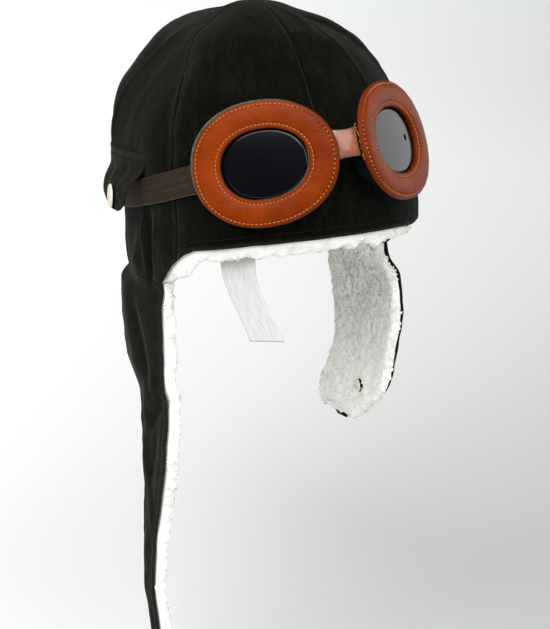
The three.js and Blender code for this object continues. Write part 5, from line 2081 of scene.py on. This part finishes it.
@dataclass
class FlapSnap:
    """The small snap set in the left flap's pile, with a dark disc under it that paints its shadow in the
    pile.
    """

    flap: EarFlap
    finishes: Finishes
    diameter: float = 9 * MM
    height: float = 2.6 * MM
    drop: float = 0.745
    across: float = -0.32
    rise: float = 0.9 * MM

    def build(self) -> list[Object]:
        """Makes the snap and its painted shadow."""
        flap = self.flap
        normal = -flap.normal(self.drop, self.across)
        depth = flap.cloth + flap.clearance + flap.pile + self.rise
        middle = flap.plain(self.drop, self.across) + normal * depth
        bm = snap_shape(self.diameter, self.height)
        bmesh.ops.transform(bm, matrix=oriented(middle, Vector((0, 1, 0)), normal), verts=bm.verts)
        piece = as_object("pile_snap", bm, self.finishes.cap, Slot.NICKEL)
        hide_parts("flap_snap")
        # Painted shadow: a dark disc under the cap, set off to the fore, shows as a dark crescent where the
        # pile lies in shade beside the snap.
        snap_shadow_disc = snap_shape(self.diameter * 1.05, self.height * 0.55)
        beside = middle - normal * 0.1 * MM + Vector((0, -1.3 * MM, 0.2 * MM))
        bmesh.ops.transform(snap_shadow_disc, matrix=oriented(beside, Vector((0, 1, 0)), normal), verts=snap_shadow_disc.verts)
        return [piece, as_object("pile_snap_shadow", snap_shadow_disc, self.finishes.foam, Slot.PAD_FOAM)]


@dataclass
class Label:
    """The blank ribbon label that hangs inside the brow."""

    form: CrownForm
    finishes: Finishes
    width: float = 22 * MM
    length: float = 66 * MM
    thickness: float = 0.35 * MM
    angle: float = 40.5
    gap: float = 1.3 * MM
    curl: float = 3 * MM
    slide: float = 19 * MM
    twist: float = 2.6 * MM
    roll: float = 6 * MM
    depth: float = 9.6 * MM

    def build(self) -> list[Object]:
        """Makes the label."""
        form = self.form
        top = form.edge_height(self.angle) + self.roll
        half = math.degrees(self.width / 2 / form.FRONT)
        row = form.row_at(top)
        a, b = (form.at(self.angle + turn, row, self.depth) for turn in (half, -half))
        across = (b - a).normalized()
        inward = Vector((-across.y, across.x, 0)).normalized()
        inward = inward if inward.y > 0 else -inward

        def place(u: float, v: float) -> Spot:
            ripple = 0.5 * MM * math.sin(5 * v + 1.5 * u) * v
            start = a + inward * (self.gap + self.curl * v + ripple)
            start += across * self.slide * smoothstep(v, 0.3, 1.15)
            point = start + across * self.width * u
            point.z = lerp(a.z, b.z, u) * (1 - v) + top * v - self.length * v
            point.z += self.twist * smoothstep(v, 0.25, 1) * u
            return point, 0.0

        bm = grid_mesh(place, 24, 60, cut=(self.width, self.length))
        piece = as_object("blank_label", bm, self.finishes.satin, Slot.SATIN)
        give_wall(piece, self.thickness)
        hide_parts("sewn_label")
        return [piece]


def direction(azimuth: float, elevation: float) -> Vector:
    """The way towards an azimuth, from the face's front, and an elevation, in degrees."""
    turn, rise = math.radians(azimuth), math.radians(elevation)
    return Vector((math.sin(turn) * math.cos(rise), -math.cos(turn) * math.cos(rise), math.sin(rise)))


@dataclass
class SoftSun:
    """A broad, far light."""

    name: str
    azimuth: float
    elevation: float
    angle: float
    energy: float
    distance: float = 1.0

    def lamp(self) -> Light:
        """The light itself."""
        lamp = bpy.data.lights.new(self.name, "SUN")
        lamp.energy = self.energy
        lamp.angle = math.radians(self.angle)
        return lamp

    def build(self, target: Vector) -> None:
        """Hangs the light and turns it to the target."""
        away = direction(self.azimuth, self.elevation)
        holder = bpy.data.objects.new(self.name, self.lamp())
        holder.location = target + away * self.distance
        holder.rotation_euler = away.to_track_quat("Z", "Y").to_euler()
        bpy.context.scene.collection.objects.link(holder)


@dataclass
class Softbox(SoftSun):
    """A near soft light of a width and height, the energy being its power."""

    size: tuple[float, float] = (1.2, 0.9)

    def lamp(self) -> Light:
        """The light itself."""
        lamp = bpy.data.lights.new(self.name, "AREA")
        lamp.shape = "RECTANGLE"
        lamp.size, lamp.size_y = self.size
        lamp.energy = self.energy
        return lamp


@dataclass
class Studio:
    """Floor, lights, surroundings and the camera at the photograph's angle."""

    floor_height: float
    camera_azimuth: float = -24.0
    camera_elevation: float = 20.5
    camera_distance: float = 800 * MM
    aside: float = 9.07 * MM
    raised: float = -80.9 * MM
    lens: float = 71.93
    sensor: float = 36.0
    target: Vector = field(default_factory=lambda: Vector((0, 0, 20 * MM)))

    def build(self) -> None:
        """Sets up the studio."""
        self._floor()
        self._surroundings()
        for light in self._lights():
            light.build(self.target)
        self._camera()

    def _floor(self) -> None:
        """A wide pale floor."""
        bm = bmesh.new()
        bmesh.ops.create_circle(bm, cap_ends=True, segments=96, radius=14.0)
        bmesh.ops.translate(bm, verts=bm.verts, vec=(0, 0, self.floor_height))
        mesh = bpy.data.meshes.new("studio_floor")
        bm.to_mesh(mesh)
        bm.free()
        mesh.materials.append(StudioFinish().build())
        floor = bpy.data.objects.new("studio_floor", mesh)
        bpy.context.scene.collection.objects.link(floor)

    def _lights(self) -> list[SoftSun]:
        """A softbox, and three broad far lights that also whiten the floor."""
        return [
            Softbox("right_bank", azimuth=100, elevation=10, angle=0, energy=6.4, distance=1.9),
            SoftSun("front_sky", azimuth=16, elevation=38, angle=56, energy=2.5),
            SoftSun("left_sky", azimuth=-58, elevation=48, angle=48, energy=3.5),
            SoftSun("back_sky", azimuth=-150, elevation=58, angle=50, energy=0.9),
        ]

    def _surroundings(self) -> None:
        """Even pale light from all round."""
        world = bpy.data.worlds.new("studio")
        world.use_nodes = True
        backdrop = world.node_tree.nodes["Background"]
        backdrop.inputs["Color"].default_value = (1.0, 1.0, 1.0, 1.0)
        backdrop.inputs["Strength"].default_value = 0.05
        bpy.context.scene.world = world

    def _camera(self) -> None:
        """The camera at the photograph's place."""
        back = direction(self.camera_azimuth, self.camera_elevation)
        right = Vector((0, 0, 1)).cross(back).normalized()
        up = back.cross(right)
        data = bpy.data.cameras.new("camera")
        data.lens = self.lens
        data.sensor_width = self.sensor
        data.clip_start = 0.01
        camera = bpy.data.objects.new("camera", data)
        place = back * self.camera_distance + right * self.aside + up * self.raised
        axes = Matrix((right, up, back)).transposed().to_4x4()
        camera.matrix_world = Matrix.Translation(place) @ axes
        bpy.context.scene.collection.objects.link(camera)
        bpy.context.scene.camera = camera


def report(title: str, pieces: Sequence[Object]) -> None:
    """Logs the pieces of a sub-assembly."""
    LOG.info("%s: %s", title, ", ".join(piece.name for piece in pieces))


def main() -> None:
    """Builds the hat, its goggles and the studio."""
    logging.basicConfig(level=logging.INFO, format="%(name)s %(message)s")
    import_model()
    form = CrownForm()
    finishes = Finishes()
    detail = FULL
    crown = Crown(form, finishes, detail)
    report("crown", crown.build())
    shared = (crown, form, finishes, detail)
    right_flap = EarFlap(*shared, Side.RIGHT, RIGHT_FLAP, length=288 * MM, margin=5 * MM)
    left_flap = EarFlap(
        *shared, Side.LEFT, LEFT_FLAP, length=139 * MM, margin=1.1 * MM, fore_margin=1.9 * MM, tip_gap=10 * MM
    )
    report("right flap", right_flap.build())
    report("left flap", left_flap.build())
    report("flap snap", FlapSnap(left_flap, finishes).build())
    goggles = {side: Goggle(form, finishes, detail, side) for side in Side}
    for side, goggle in goggles.items():
        report(f"{side.word} goggle", goggle.build())
        report(f"{side.word} tab", StrapTab(form, finishes, detail, side).build())
    report("bridge", Bridge(goggles, finishes, detail).build())
    report("strap", GoggleStrap(goggles, form, finishes, detail).build())
    report("label", Label(form, finishes).build())
    Studio(floor_height=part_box("flap_lining_right")[0].z - 40 * MM).build()
    bpy.context.scene.view_settings.view_transform = "Standard"


if __name__ == "__main__":
    main()
